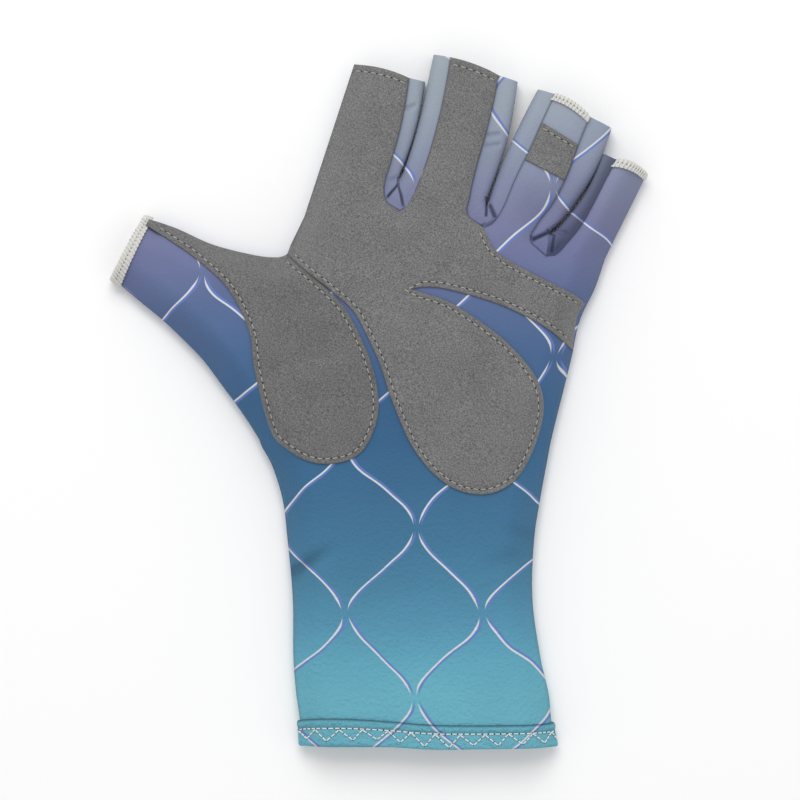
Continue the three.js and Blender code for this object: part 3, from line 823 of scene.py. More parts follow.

# Painted shade at the bottom of each gap: how dark, and where it begins and how far it takes
slit_shades = [0.9, 0.9, 0.45]
slit_from, slit_reach = 0.79, 0.16

# Painted shade beside the seam: how dark, over which width, and the same for a pucker of a full depth
seam_shade, seam_width = 0.9, 0.4
pucker_shade, pucker_full = 0.7, 1.4

# Puckers: forward and sideways ends from the crotch in millimetres, width and depth
pucker_rows = [
    [((10.9, -2.9), (8.6, -2.5), 0.4, 1.3), ((8.6, -2.5), (3.9, -5.1), 0.38, 1.5),
     ((8.6, -2.5), (5.5, -0.8), 0.34, 1.3), ((5.5, -0.8), (2.0, 0.7), 0.38, 1.4),
     ((9.8, -5.1), (10.9, -2.9), 0.9, 0.6), ((34.6, -5.3), (36.4, -2.6), 0.8, 0.7)],
    [((10.0, -2.2), (8.1, -1.4), 0.4, 1.3), ((7.7, -0.2), (4.6, 2.5), 0.65, 1.5),
     ((8.1, -1.4), (4.1, -0.5), 0.36, 1.4), ((-1.2, -3.6), (1.0, 0.1), 0.34, 1.1),
     ((0.8, 0.5), (3.9, 3.5), 0.36, 1.1), ((30.4, -8.2), (32.0, -4.6), 0.8, 0.7),
     ((26.9, -7.2), (28.6, -3.6), 0.8, 0.6)],
    [((3.2, -6.5), (7.6, -3.0), 0.6, 1.6), ((8.2, -3.3), (7.6, -0.7), 0.5, 1.3),
     ((7.6, -0.7), (2.4, 1.1), 0.38, 1.4), ((3.6, -7.6), (0.1, -5.0), 0.36, 1.2),
     ((9.4, -1.6), (10.0, 2.0), 1.0, 0.9)],
]


def strip_surface(gap):
    """Grid of one strip. Along it, the points run from the near finger's mouth round the crotch to the
    far one's. Across it, an angle from 0 to 90 degrees carries it out by a power of its sine and down
    by one minus that power of its cosine, and then it drops straight to the back, bulging a little."""
    close = np.linspace(0, 1, strip_points) ** strip_crowding
    seams = np.vstack([seam_line(gap, 0, close[::-1]), seam_line(gap, 1, close[1:])])
    slits = np.vstack([slit_line(gap, 0, close[::-1]), slit_line(gap, 1, close[1:])])
    side = np.r_[np.zeros(len(close)), np.ones(len(close) - 1)]
    turn = ease(0.5 + 0.5 * np.r_[-close[::-1], close[1:]] / strip_turn)
    near, far = strip_tucks[gap]
    tuck = near + (far - near) * turn
    top = palm_top(seams)
    bottom = back_bottom(slits) + cloth_wall
    angle = np.r_[0, seam_angles, np.linspace(0, math.pi / 2, shoulder_rows)[1:]]
    fall = np.linspace(0, 1, wall_rows)[1:]
    power = 2 / strip_flatness
    out = np.r_[np.sin(angle) ** power, np.ones(len(fall))]
    sunk = ease(out / tuck_reach)[:, None] * tuck
    shoulder = np.minimum(strip_shoulder, (top - tuck - bottom) * shoulder_share)
    drop = (1 - np.cos(angle) ** power)[:, None] * shoulder
    drop = np.vstack([drop, shoulder + fall[:, None] * (top - tuck - shoulder - bottom)])
    way = slits - seams
    length = np.maximum(np.linalg.norm(way, axis=1), 1e-6)[:, None]
    swell = np.r_[out[:len(angle)] ** 8, np.cos(fall * np.pi / 2)]
    bulge = np.where(side < 0.5, *strip_bulges[gap])[:, None]
    swell = swell[:, None, None] * bulge * ease(length / bulge_length)
    plan = seams + out[:, None, None] * way + swell * way / length
    return np.concatenate([plan, (top - sunk - drop)[..., None]], axis=-1)


def puckers(gap, plan):
    """Depth of the creases where the strip turns: a bell curve about each straight stroke."""
    start, lean = place(*gap_rows[gap][0]), gap_rows[gap][1]
    depth = np.zeros(plan.shape[:-1])
    for first, last, width, deep in pucker_rows[gap]:
        stroke = np.vstack([beside(start, lean, *first), beside(start, lean, *last)])
        depth = np.maximum(depth, deep * np.exp(-(distance_to([stroke], plan) / width) ** 2))
    return depth


for gap, node in enumerate(strip_names):
    grid = strip_surface(gap)
    crease = puckers(gap, grid[..., :2])
    crease[1 - wall_rows:] *= np.linspace(1, 0, wall_rows - 1)[:, None]
    grid[..., 2] -= crease
    across = np.linspace(0, 1, len(grid))[:, None]
    from_seam = np.linalg.norm(grid[..., :2] - grid[:1, :, :2], axis=-1)
    far_side = np.arange(grid.shape[1]) > grid.shape[1] // 2
    # Painted shade beside the seam, on the far finger's strip, at the bottom of the gap and in the
    # puckers
    shades = [
        seam_shade * np.exp(-(from_seam / seam_width) ** 2),
        strip_shades[gap] * far_side * np.exp(-(across / strip_shade_width) ** 2),
        slit_shades[gap] * ease((across - slit_from) / slit_reach) * np.ones(grid.shape[1]),
        pucker_shade * np.clip(crease / pucker_full, 0, 1) ** 2,
    ]
    strip = object_of(f"{node}_cloth", grid.reshape(-1, 3), grid_faces(*grid.shape[:2]),
                      [print_material, inside_material])
    add_shade(strip, np.maximum.reduce(shades))
    add_cloth_wall(strip)
    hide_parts(node)
    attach(strip, "root")


# Suede of the palm and the thumb
# Grey synthetic suede, a brushed microfibre sheet 0.8 mm thick, laid on the cloth and sewn down near
# its cut edge. Its nap shows as a fine light and dark grain.
suede_wall = 0.8
suede_gap = 0.05
suede_round = 0.35
edge_height = 0.35
stitch_inset = 1.8
groove_depth = 0.28
stitch_pitch = 2.6
groove_width = 0.55
finger_end_inset = 2.3
middle_bow = 0.6
index_bow = 0.8
index_overlap = 0.3
ring_end_inset = 1.6
end_clear = 0.5
valley_points = 66
valley_width = 0.5
valley_depth = 0.15
valley_shade = 4.5

# How far inside the cut edge rings of points lie, how near to a ring, a grid or a seam other points
# may come, and the steps of the points elsewhere
edge_rings = [0.12, 0.35, 0.75, 1.2, 1.55, 1.8, 2.05, 2.4, 3.0]
ring_slack = 0.08
grid_clear = 0.5
seam_slack = 0.12
suede_step = 1.5
row_step = 0.87 * suede_step
seam_step = 0.4
outline_step = 0.7

# Grain of the nap, drawn about five times as coarse as the real 0.1 mm, with the part of the noise
# from its dark to its light end, and broad strokes where the nap was brushed another way
nap_width = 0.5
nap_contrast = (0.31, 0.69)
nap_relief = 0.1
nap_stroke = 16.667
nap_tones = (0.8, 1.22)

# The cut edge shows its browner backing from the first distance inside it to the second.
cut_edge = (0.4, 0.1)
cut_edge_share = 0.7
cut_edge_colour = "#6b655f"
# Painted shade in the groove along a seam and in the valley between two sheets: its share for each unit
# of the groove attribute, and its dark grey
groove_shade_share = 0.16
groove_shade_colour = "#4a4a49"

# Outlines, as shares across and along
thumb_outline_rows = [
    (-0.803, 0.988), (-0.768, 0.974), (-0.7, 0.945), (-0.594, 0.885), (-0.527, 0.804),
    (-0.507, 0.723), (-0.458, 0.611), (-0.407, 0.576), (-0.342, 0.553), (-0.276, 0.547),
    (-0.205, 0.556), (-0.156, 0.58), (-0.121, 0.63), (-0.117, 0.683), (-0.14, 0.744),
    (-0.178, 0.799), (-0.2195, 0.8443), (-0.2606, 0.873), (-0.3322, 0.9128), (-0.368, 0.9305),
    (-0.4083, 0.9525),
]
tongue_rows = [
    (-0.4083, 0.9525), (-0.3685, 0.93), (-0.3337, 0.912), (-0.252, 0.873), (-0.196, 0.841),
    (-0.157, 0.799), (-0.111, 0.738), (-0.074, 0.67), (-0.003, 0.574), (0.099, 0.508),
    (0.214, 0.488), (0.311, 0.512), (0.375, 0.574), (0.408, 0.651), (0.384, 0.713),
    (0.292, 0.781), (0.165, 0.839), (0.09, 0.864), (0.019, 0.878),
]
band_lower_rows = [(0.025, 0.888), (0.099, 0.884), (0.264, 0.855), (0.41, 0.811), (0.504, 0.766)]
band_end_rows = [(0.516, 0.829), (0.543, 0.857)]
band_upper_rows = [(0.515, 0.87), (0.454, 0.889), (0.342, 0.924), (0.257, 0.958), (0.219, 1.0)]
tongue_turn = (-0.012, 0.884)
seam_turn = (-0.03, 0.882)
index_turn = (-0.396, 0.972)
thumb_end_share = 0.9
thumb_stop = 0.998
tip_rise = 1.1
tip_reach = 3.5
ring_near = (0.515, 0.79)
ring_far = (0.525, 0.79)


def placed(rows):
    """Plan positions of rows of shares across and along."""
    return place(*np.array(rows).T)


def resampled(line, step):
    """The line with points a step apart, its ends kept."""
    length = np.linalg.norm(np.diff(line, axis=0), axis=1).sum()
    return along_line(line, np.linspace(0, 1, max(2, round(length / step) + 1)))


def inside(outline, points):
    """Which points lie inside a closed outline: an odd number of its sides lies to their right."""
    odd = np.zeros(len(points), bool)
    for a, b in zip(outline, np.roll(outline, -1, axis=0)):
        crosses = (a[1] > points[:, 1]) != (b[1] > points[:, 1])
        rise_y = b[1] - a[1] if abs(b[1] - a[1]) > 1e-12 else 1e-12
        odd ^= crosses & (points[:, 0] < a[0] + (points[:, 1] - a[1]) / rise_y * (b[0] - a[0]))
    return odd


def cut_line(stretches):
    """The closed outline of a cut sheet, from the stretches that follow each other round it."""
    return np.vstack([resampled(line, outline_step)[:-1] for line in stretches])


def laid_sheet(name, outline, seams, material, raised=lambda points: 0.0, valley=None):
    """A sheet cut to an outline and laid on the palm cloth.

    The outline's points, rings just inside it and a staggered grid of points are joined by Delaunay
    triangles. The upper face stands at the sheet's thickness above the cloth, rounded at the cut edge
    by a quarter circle and pulled down along the seams. The lower face follows the cloth. Along a
    valley, where two sheets meet, it sinks as along a seam and is darkened by painted shade.
    """
    way = np.roll(outline, -1, axis=0) - np.roll(outline, 1, axis=0)
    turns = outline[:, 0] * np.roll(outline[:, 1], -1) - np.roll(outline[:, 0], -1) * outline[:, 1]
    inward = np.c_[-way[:, 1], way[:, 0]] / np.linalg.norm(way, axis=1)[:, None] * np.sign(turns.sum())
    closed = np.vstack([outline, outline[:1]])
    rings = np.vstack([outline + inward * inset for inset in edge_rings])
    planned = np.repeat(edge_rings, len(outline))
    kept = inside(outline, rings)
    rings, planned = rings[kept], planned[kept]
    rings = rings[distance_to([closed], rings) > planned - ring_slack]
    low, high = outline.min(0), outline.max(0)
    columns = np.arange(low[0], high[0], suede_step)
    lines = np.arange(low[1], high[1], row_step)
    grid = np.stack(np.meshgrid(columns, lines), axis=-1)
    grid[1::2, :, 0] += suede_step / 2
    grid = grid.reshape(-1, 2)
    grid = grid[inside(outline, grid)]
    grid = grid[distance_to([closed], grid) > edge_rings[-1] + grid_clear]
    count = len(outline)
    border = [(i, (i + 1) % count) for i in range(count)]
    corners = [Vector(p) for p in np.vstack([outline, rings, grid])]
    flat, _, triangles, _, _, _ = delaunay_2d_cdt(corners, border, [list(range(count))], 1, 1e-5)
    flat, triangles = np.array(flat), np.array(triangles)
    inset = distance_to([closed], flat)
    groove = np.exp(-(distance_to(seams, flat) / groove_width) ** 2)
    edge = np.clip(inset / suede_round, 0, 1)
    lower = palm_top(flat) + suede_gap + raised(flat)
    rounded = edge_height + (1 - edge_height) * np.sqrt(1 - (1 - edge) ** 2)
    upper = lower + suede_wall * rounded - groove_depth * groove
    if valley is not None:
        shade = np.exp(-(distance_to([valley], flat) / valley_width) ** 2)
        upper -= valley_depth * shade
        groove = groove + valley_shade * shade
    size = len(flat)
    rim = find_border(triangles)
    walls = np.vstack([
        np.c_[rim[:, 1], rim[:, 0], rim[:, 0] + size],
        np.c_[rim[:, 1], rim[:, 0] + size, rim[:, 1] + size],
    ])
    faces = np.vstack([triangles, triangles[:, ::-1] + size, walls])
    made = object_of(name, np.vstack([np.c_[flat, upper], np.c_[flat, lower]]), faces, [material])
    for label, values in (("inset", np.r_[inset, inset * 0]), ("groove", np.r_[groove, groove])):
        store = made.data.attributes.new(label, "FLOAT", "POINT")
        store.data.foreach_set("value", values.astype(np.float32))
    return made


def inset_line(line, inset, closed_outline, clear=None):
    """A line moved into its sheet, less the points that come closer than clear to the outline."""
    way = np.gradient(line, axis=0)
    inward = np.c_[-way[:, 1], way[:, 0]] / np.linalg.norm(way, axis=1)[:, None]
    middle = len(line) // 2
    probe = line[middle:middle + 1] + inward[middle:middle + 1] * 0.3
    if not inside(closed_outline, probe)[0]:
        inward = -inward
    moved = line + inward * inset
    loop = np.vstack([closed_outline, closed_outline[:1]])
    clear = inset - seam_slack if clear is None else clear
    return moved[(distance_to([loop], moved) > clear) & inside(closed_outline, moved)]


def find_border(triangles):
    """Directed edges that only one triangle has."""
    edges = np.vstack([triangles[:, [0, 1]], triangles[:, [1, 2]], triangles[:, [2, 0]]])
    known = {tuple(edge) for edge in edges.tolist()}
    return np.array([edge for edge in edges.tolist() if (edge[1], edge[0]) not in known])


def brushed_suede(name, dark_nap, light_nap):
    """Brushed microfibre suede: no gloss, a grain of lighter and darker nap that is brushed this way
    and that, a browner cut edge, and painted shade in the groove along a seam and along a valley."""
    material, tree, shader = new_material(name)
    position = position_in_mm(tree)
    grain = add_node(tree, "ShaderNodeTexNoise", {
        "Vector": position, "Scale": 1 / nap_width, "Detail": 3.0, "Roughness": 0.8,
    })
    strokes = add_node(tree, "ShaderNodeTexNoise", {
        "Vector": position, "Scale": 1 / nap_stroke, "Detail": 4.0, "Roughness": 0.65,
    })
    light_share = add_node(tree, "ShaderNodeMapRange", (grain, *nap_contrast))
    colour = add_node(tree, "ShaderNodeMix", (
        light_share, linear(dark_nap), linear(light_nap),
    ), data_type="RGBA")
    low, high = nap_tones
    tone = add_node(tree, "ShaderNodeMath", (strokes, high - low, low), operation="MULTIPLY_ADD")
    colour = add_node(tree, "ShaderNodeHueSaturation", {"Value": tone, "Color": colour})
    inset = add_node(tree, "ShaderNodeAttribute", attribute_name="inset").outputs["Fac"]
    edge_share = add_node(tree, "ShaderNodeMapRange", (inset, *cut_edge, 0, cut_edge_share))
    edged = (edge_share, colour, linear(cut_edge_colour))
    colour = add_node(tree, "ShaderNodeMix", edged, data_type="RGBA")
    groove = add_node(tree, "ShaderNodeAttribute", attribute_name="groove").outputs["Fac"]
    shade = add_node(tree, "ShaderNodeMath", (groove, groove_shade_share), operation="MULTIPLY")
    colour = add_node(tree, "ShaderNodeMix", (shade, colour, linear(groove_shade_colour)), data_type="RGBA")
    tree.links.new(colour.outputs[2], shader.inputs["Base Color"])
    bump = add_node(tree, "ShaderNodeBump", {
        "Strength": 0.5, "Distance": nap_relief * MM, "Height": grain,
    })
    tree.links.new(bump.outputs[0], shader.inputs["Normal"])
    shader.inputs["Roughness"].default_value = 0.95
    shader.inputs["Specular IOR Level"].default_value = 0.1
    shader.inputs["Sheen Weight"].default_value = 0.25
    shader.inputs["Sheen Roughness"].default_value = 0.5
    return material


suede_material = brushed_suede("brushed microfibre suede", "#474747", "#8c8c8c")
thumb_suede_material = brushed_suede("suede with its nap the other way", "#424242", "#848484")
finger_run = np.linspace(0, 1, 60)
thumb_top_line = along_line(thumb_upper, np.linspace(thumb_stop, 0, 50))
thumb_end = [
    along_line(thumb_lower, thumb_stop) * (1 - share) + along_line(thumb_upper, thumb_stop) * share
    for share in (thumb_end_share, 1.0)
]
thumb_curve = smooth_line(np.vstack([thumb_end[0], placed(thumb_outline_rows)]))
thumb_stretches = [
    thumb_curve,
    np.vstack([thumb_curve[-1], thumb_top_line[-2]]),
    thumb_top_line[::-1][1:],
    np.vstack([thumb_end[1], thumb_end[0]]),
]
thumb_outline = cut_line(thumb_stretches)
thumb_seam = inset_line(thumb_curve, stitch_inset, thumb_outline)


def tip_lift(points):
    """The thumb's strip lies on the edging at its tip, so that it stands higher towards the mouth."""
    from_mouth = (1 - along_thumb(points)) * thumb_length
    return tip_rise * (1 - ease((from_mouth - edging_width) / tip_reach))


tongue = smooth_line(placed(tongue_rows))
valley_line = tongue[:valley_points]
thumb_suede = laid_sheet(
    "thumb_suede", thumb_outline, [thumb_seam], thumb_suede_material, tip_lift, valley_line,
)

band_lower = smooth_line(placed(band_lower_rows))
band_end = smooth_line(np.vstack([band_lower[-1], placed(band_end_rows)]))
band_upper = smooth_line(np.vstack([band_end[-1], placed(band_upper_rows)]))
middle_right = seam_line(1, 0, finger_run)
middle_left = seam_line(0, 1, finger_run)
index_right = seam_line(0, 0, finger_run)
index_left = beside(place(*index_root), index_lean, finger_run * index_length, -index_overlap)
crotch_to_index = np.vstack([tongue[0], place(*index_turn), index_left[0]])


def bowed(start, end, bow):
    """A straight line from start to end, pushed out to its left by a parabola of the given height."""
    share = np.linspace(0, 1, 15)[:, None]
    way = (end - start) / np.linalg.norm(end - start)
    return start + (end - start) * share + np.array([way[1], -way[0]]) * bow * 4 * share * (1 - share)


middle_end = bowed(middle_right[-1], middle_left[-1], middle_bow)
index_end = bowed(index_right[-1], index_left[-1], index_bow)
palm_stretches = [
    tongue,
    np.vstack([tongue[-1], place(*tongue_turn), band_lower[0]]),
    band_lower, band_end, band_upper,
    np.vstack([band_upper[-1], middle_right[0]]),
    middle_right,
    middle_end,
    middle_left[::-1],
    index_right,
    index_end,
    index_left[::-1],
    crotch_to_index[::-1],
]
palm_outline = cut_line(palm_stretches)
tongue_seam = inset_line(tongue, stitch_inset, palm_outline)
lower_seam = inset_line(band_lower, stitch_inset, palm_outline)
upper_seam = inset_line(band_upper, stitch_inset, palm_outline)
band_seam = np.vstack([tongue_seam, place(*seam_turn), lower_seam])
end_seams = [
    inset_line(resampled(end, seam_step), finger_end_inset, palm_outline, end_clear)
    for end in (middle_end, index_end)
]
palm_suede = laid_sheet(
    "palm_suede", palm_outline, [band_seam, upper_seam, *end_seams], suede_material, valley=valley_line,
)

ring_left = seam_line(1, 1, np.linspace(*ring_near, 30))
ring_right = seam_line(2, 0, np.linspace(*ring_far, 30))
ring_stretches = [
    ring_left,
    np.vstack([ring_left[-1], ring_right[-1]]),
    ring_right[::-1],
    np.vstack([ring_right[0], ring_left[0]]),
]
ring_outline = cut_line(ring_stretches)
ring_seam = inset_line(resampled(ring_stretches[1], seam_step), ring_end_inset, ring_outline, end_clear)
ring_suede = laid_sheet("ring_suede", ring_outline, [ring_seam], suede_material)
for piece, node in (
    (thumb_suede, "thumb_patch"), (palm_suede, "palm_patch"), (ring_suede, "ring_patch"),
):
    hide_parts(node)
    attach(piece, "root")


# Stitches of the suede
# Lockstitch of pale grey polyester thread, about 2 mm inside the cut edges, four stitches to the
# centimetre. Between two stitches the thread dives into a needle hole.
thread_radius = 0.2
stitch_length = 1.75
stitch_lift = 0.1
# A needle hole is painted shade: a flat dark rod between two stitches
hole_length = 0.75
hole_radius = 0.24
hole_lift = 0.02
hole_flatness = 0.35
ply_length = 0.4545
ply_tones = (0.85, 1.15)
ply_relief = 0.05


def spun_thread(name, code):
    """Polyester sewing thread: two twisted plies with a soft shine, shown as fine slanting ribs."""
    material, tree, shader = new_material(name)
    ribs = add_node(tree, "ShaderNodeTexNoise", {
        "Vector": position_in_mm(tree), "Scale": 1 / ply_length, "Detail": 2.0,
    })
    low, high = ply_tones
    tone = add_node(tree, "ShaderNodeMath", (ribs, high - low, low), operation="MULTIPLY_ADD")
    colour = add_node(tree, "ShaderNodeHueSaturation", {"Value": tone, "Color": linear(code)})
    tree.links.new(colour.outputs[0], shader.inputs["Base Color"])
    bump = add_node(tree, "ShaderNodeBump", {
        "Strength": 0.4, "Distance": ply_relief * MM, "Height": ribs,
    })
    tree.links.new(bump.outputs[0], shader.inputs["Normal"])
    shader.inputs["Roughness"].default_value = 0.55
    shader.inputs["Sheen Weight"].default_value = 0.1
    return material


def shaded_hole(name, code, gloss=0.0):
    """Painted shade of a needle hole: a matt rod in a dark colour, where the hollow lies in shade."""
    material, _, shader = new_material(name)
    shader.inputs["Base Color"].default_value = linear(code)
    shader.inputs["Roughness"].default_value = 1.0
    shader.inputs["Specular IOR Level"].default_value = gloss
    return material


def capsules(centres, ways, length, radius, flat=1.0, sides=6, rings=6):
    """Points and faces of many small rounded rods, each an ellipse spun about its own way.

    A ring stands at -cos(a) of half the length with sin(a) of the radius, for a from 0 to 180 degrees.
    """
    angle = np.linspace(0, math.pi, rings + 2)[1:-1]
    turn = np.arange(sides) / sides * 2 * math.pi
    ways = ways / np.linalg.norm(ways, axis=1)[:, None]
    aside = np.cross(ways, (0, 0, 1.0))
    aside /= np.linalg.norm(aside, axis=1)[:, None]
    over = np.cross(aside, ways)
    run = -np.cos(angle)[None, :, None, None] * ways[:, None, None] * length / 2
    body = np.sqrt(np.sin(angle))[None, :, None, None] * radius
    round_ = (np.cos(turn)[None, None, :, None] * aside[:, None, None]
              + np.sin(turn)[None, None, :, None] * over[:, None, None] * flat)
    ring_points = centres[:, None, None] + run + body * round_
    tips = centres[:, None] + ways[:, None] * np.array([-0.5, 0.5])[None, :, None] * length
    each = rings * sides
    points = np.concatenate([ring_points.reshape(len(centres), each, 3), tips], axis=1)
    wall = grid_faces(rings, sides, closed_columns=True)
    j = np.arange(sides)
    first = np.c_[np.full(sides, each), (j + 1) % sides, j]
    last = np.c_[np.full(sides, each + 1), j + (rings - 1) * sides, (j + 1) % sides + (rings - 1) * sides]
    starts = np.arange(len(centres))[:, None, None] * (each + 2)
    quads = (wall[None] + starts).reshape(-1, 4)
    triangles = (np.vstack([first, last])[None] + starts).reshape(-1, 3)
    return points.reshape(-1, 3), quads[:, ::-1].tolist() + triangles[:, ::-1].tolist()


def stitch_places(line, pitch):
    """Middles and ways of the stitches along a line, and of the needle holes between them. A way is
    measured over a small share of a stitch on either side."""
    length = np.linalg.norm(np.diff(line, axis=0), axis=1).sum()
    count = max(2, round(length / pitch))
    at = (np.arange(count) + 0.5) / count
    middles = along_line(line, at)
    ways = along_line(line, np.minimum(at + 0.2 / count, 1)) - along_line(line, at - 0.2 / count)
    between = np.arange(1, count) / count
    holes = along_line(line, between)
    hole_ways = along_line(line, between + 0.1 / count) - along_line(line, between - 0.1 / count)
    return middles, ways, holes, hole_ways


thread_material = spun_thread("pale polyester thread", "#a8a69f")
hole_shade_material = shaded_hole("shaded needle hole", "#383736")


def sew(name, lines, surface):
    """Stitches and needle holes along plan lines, at the height that surface gives.

    A stitch is a rod that slopes with the surface, and a hole is a flat dark one between two stitches,
    painted shade where the needle went through.
    """
    found = [stitch_places(line, stitch_pitch) for line in lines if len(line) > 3]
    middles, ways, holes, hole_ways = (np.vstack([part[k] for part in found]) for k in range(4))
    heights = surface(middles) + stitch_lift
    slopes = surface(middles + ways * 0.5) - surface(middles - ways * 0.5)
    points, faces = capsules(np.c_[middles, heights], np.c_[ways, slopes], stitch_length, thread_radius)
    stitches = object_of(f"{name}_stitches", points, faces, [thread_material])
    points, faces = capsules(
        np.c_[holes, surface(holes) + hole_lift], np.c_[hole_ways, np.zeros(len(holes))],
        hole_length, hole_radius, flat=hole_flatness, rings=4,
    )
    pits = object_of(f"{name}_needle_holes", points, faces, [hole_shade_material])
    for made in (stitches, pits):
        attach(made, "root")


def suede_top(points):
    """Upper face of the suede where it is pulled down along its stitches."""
    return palm_top(points) + suede_gap + suede_wall - groove_depth


sew("thumb_suede", [thumb_seam], lambda points: suede_top(points) + tip_lift(points))
sew("palm_suede", [band_seam, upper_seam], suede_top)
sew("finger_ends", end_seams, suede_top)
sew("ring_suede", [ring_seam], suede_top)


# Wrist hem
# The knit is turned over into a band 8 mm tall and sewn with a zigzag of white thread under one
# straight row. The fold bulges a little along the top of the band and is soft at the wrist end.
hem_columns = 130
hem_profile_points = 55
hem_dimples = 2.6
hem_loops = 9
shell_lift = 2

# Hem profile: share of hem_height from its top, and lift above the cloth
hem_rows = np.array([
    (0.0, 0.1), (-0.05, 0.35), (-0.05, 0.7), (0.01, 1.05), (0.09, 1.28), (0.18, 1.12), (0.28, 0.85),
    (0.34, 0.8), (0.45, 0.95), (0.6, 1.0), (0.75, 0.98), (0.88, 1.05), (0.97, 0.95), (1.02, 0.6),
    (1.03, 0.2), (1.0, -0.35), (0.9, -0.45), (0.5, -0.4), (0.1, -0.2),
])

# How far the hem's top and its lower end lie off their straight lines: share across, millimetres.
# On the back this fades out from a height above the table down, and the cloth stays off the table.
hem_wave_rows = np.array([
    (0, 0.4, 0.2), (0.09, 1.3, 0.6), (0.19, 1.25, 0.75), (0.34, 0.5, 0.3), (0.51, -0.7, -0.6),
    (0.7, -1.0, -0.5), (1, -0.7, -0.1),
])
wave_from, wave_reach = 2, 5
least_height = 0.02


def wrist_loop(drop, lift):
    """The wrist's outline at a drop below the hem's top, moved outwards by a lift.

    Palm and back follow their own heights, with points that crowd at the sides by a cosine. The
    outward way is square to the outline in X and Z. The loop never goes below the table.
    """
    share = np.linspace(0, 1, hem_columns)
    y = wrist_end + hem_height - drop
    along = np.full(len(share), (y - wrist_end) / body_length)
    left = through(side_rows, np.maximum(along, 0), 1) * palm_width
    right = through(side_rows, np.maximum(along, 0), 2) * palm_width
    bunched = 0.5 - 0.5 * np.cos(np.pi * share)
    x = left + (right - left) * bunched
    palm = np.c_[x, np.full(len(x), y)]
    level = np.maximum(palm[:, 1:], wrist_end)
    top = palm_top(np.c_[x, level])
    low = back_bottom(np.c_[x, level])
    loop = np.vstack([np.c_[x, top], np.c_[x[::-1], low[::-1]][1:-1]])
    way = np.roll(loop, -1, axis=0) - np.roll(loop, 1, axis=0)
    way = (np.roll(way, 1, axis=0) + 2 * way + np.roll(way, -1, axis=0)) / 4
    out = np.c_[-way[:, 1], way[:, 0]] / np.maximum(np.linalg.norm(way, axis=1), 1e-9)[:, None]
    moved = loop + out * lift
    across = (loop[:, 0] - left[0]) / (right[0] - left[0])
    down = np.clip(drop / hem_height, 0, 1)
    wave = through(hem_wave_rows, across) * (1 - down) + through(hem_wave_rows, across, 2) * down
    height = np.maximum(moved[:, 1], least_height)
    return np.c_[moved[:, 0], y + wave * ease((loop[:, 1] - wave_from) / wave_reach), height]


# Shade in the crease under the bulge at the top of the band, by its lift, and a fainter one below it
lip_end = 0.085
lip_shades = ([0.7, 0.95, 1.25], [0.95, 0.7, 0.0])
under_lip_shade = 0.3
under_lip_place, under_lip_width = 0.27, 0.06

hem_material = printed_knit("turned knit of the hem", hem_dimples)
hem_shares = np.linspace(0, 1, hem_profile_points + 1)[:-1]
profile = along_line(np.vstack([hem_rows, hem_rows[:1]]), hem_shares)
hem_grid = np.stack([wrist_loop(share * hem_height, lift) for share, lift in profile])
hem = object_of("wrist_hem", hem_grid.reshape(-1, 3),
                grid_faces(*hem_grid.shape[:2], closed_rows=True, closed_columns=True)[:, ::-1],
                [hem_material])
from_top, lifts = profile.T
lip_shade = np.interp(lifts, *lip_shades) * (from_top < lip_end) * (lifts > 0)
under_lip = under_lip_shade * np.exp(-((from_top - under_lip_place) / under_lip_width) ** 2) * (lifts > 0)
add_shade(hem, np.repeat(np.maximum(lip_shade, under_lip), hem_grid.shape[1]))
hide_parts("cuff_hem")
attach(hem, "root")

white_thread = spun_thread("white polyester thread", "#e3e5e4")
# The hem's needle holes are painted shade: flat dark teal rods between the white stitches
hem_hole_shade = shaded_hole("shaded needle hole in the turned knit", "#254751")


def rods_along(paths, radius, sides=6):
    """Points and faces of round threads along paths of equal point counts, closed at both ends.

    Each ring stands square to the path: cos and sin of the radius on two ways made from the path's
    own way and straight up.
    """
    way = np.gradient(paths, axis=1)
    way /= np.linalg.norm(way, axis=2)[..., None]
    up = np.where(np.abs(way[..., 2:]) > 0.95, np.array([1.0, 0, 0]), np.array([0, 0, 1.0]))
    aside = np.cross(way, up)
    aside /= np.linalg.norm(aside, axis=2)[..., None]
    over = np.cross(aside, way)
    turn = np.arange(sides) / sides * 2 * math.pi
    ring = paths[:, :, None] + radius * (
        np.cos(turn)[:, None] * aside[:, :, None] + np.sin(turn)[:, None] * over[:, :, None])
    count, length = paths.shape[:2]
    each = length * sides
    wall = grid_faces(length, sides, closed_columns=True)
    starts = np.arange(count)[:, None, None] * each
    quads = (wall[None] + starts).reshape(-1, 4)[:, ::-1].tolist()
    first = (np.arange(sides) + np.arange(count)[:, None] * each).tolist()
    last = (np.arange(sides)[::-1] + (length - 1) * sides + np.arange(count)[:, None] * each).tolist()
    return ring.reshape(-1, 3), quads + first + last


hem_shells = [
    np.stack([wrist_loop(drop, lift) for drop in np.linspace(0, hem_height, hem_loops)])
    for lift in (0, shell_lift)
]
hem_shells = np.array([np.concatenate([shell, shell[:, :1]], axis=1) for shell in hem_shells])


def on_hem(round_share, drop, lift):
    """Points over the hem: shares of the way round it, drops below its top, and lifts above the cloth.

    They lie on straight lines between loops that are worked out at even drops and at two lifts.
    """
    middle = hem_shells[0][hem_loops // 2][:, [0, 2]]
    lengths = np.r_[0, np.cumsum(np.linalg.norm(np.diff(middle, axis=0), axis=1))]
    across = np.interp(round_share * lengths[-1], lengths, np.arange(len(lengths)))
    down = np.clip(drop / hem_height * (hem_loops - 1), 0, hem_loops - 1.001)
    i, j = down.astype(int), np.minimum(across.astype(int), len(lengths) - 2)
    u, v = (down - i)[..., None], (across - j)[..., None]
    low, high = (
        (shell[i, j] * (1 - v) + shell[i, j + 1] * v) * (1 - u)
        + (shell[i + 1, j] * (1 - v) + shell[i + 1, j + 1] * v) * u for shell in hem_shells
    )
    return low + (high - low) * lift[..., None] / shell_lift


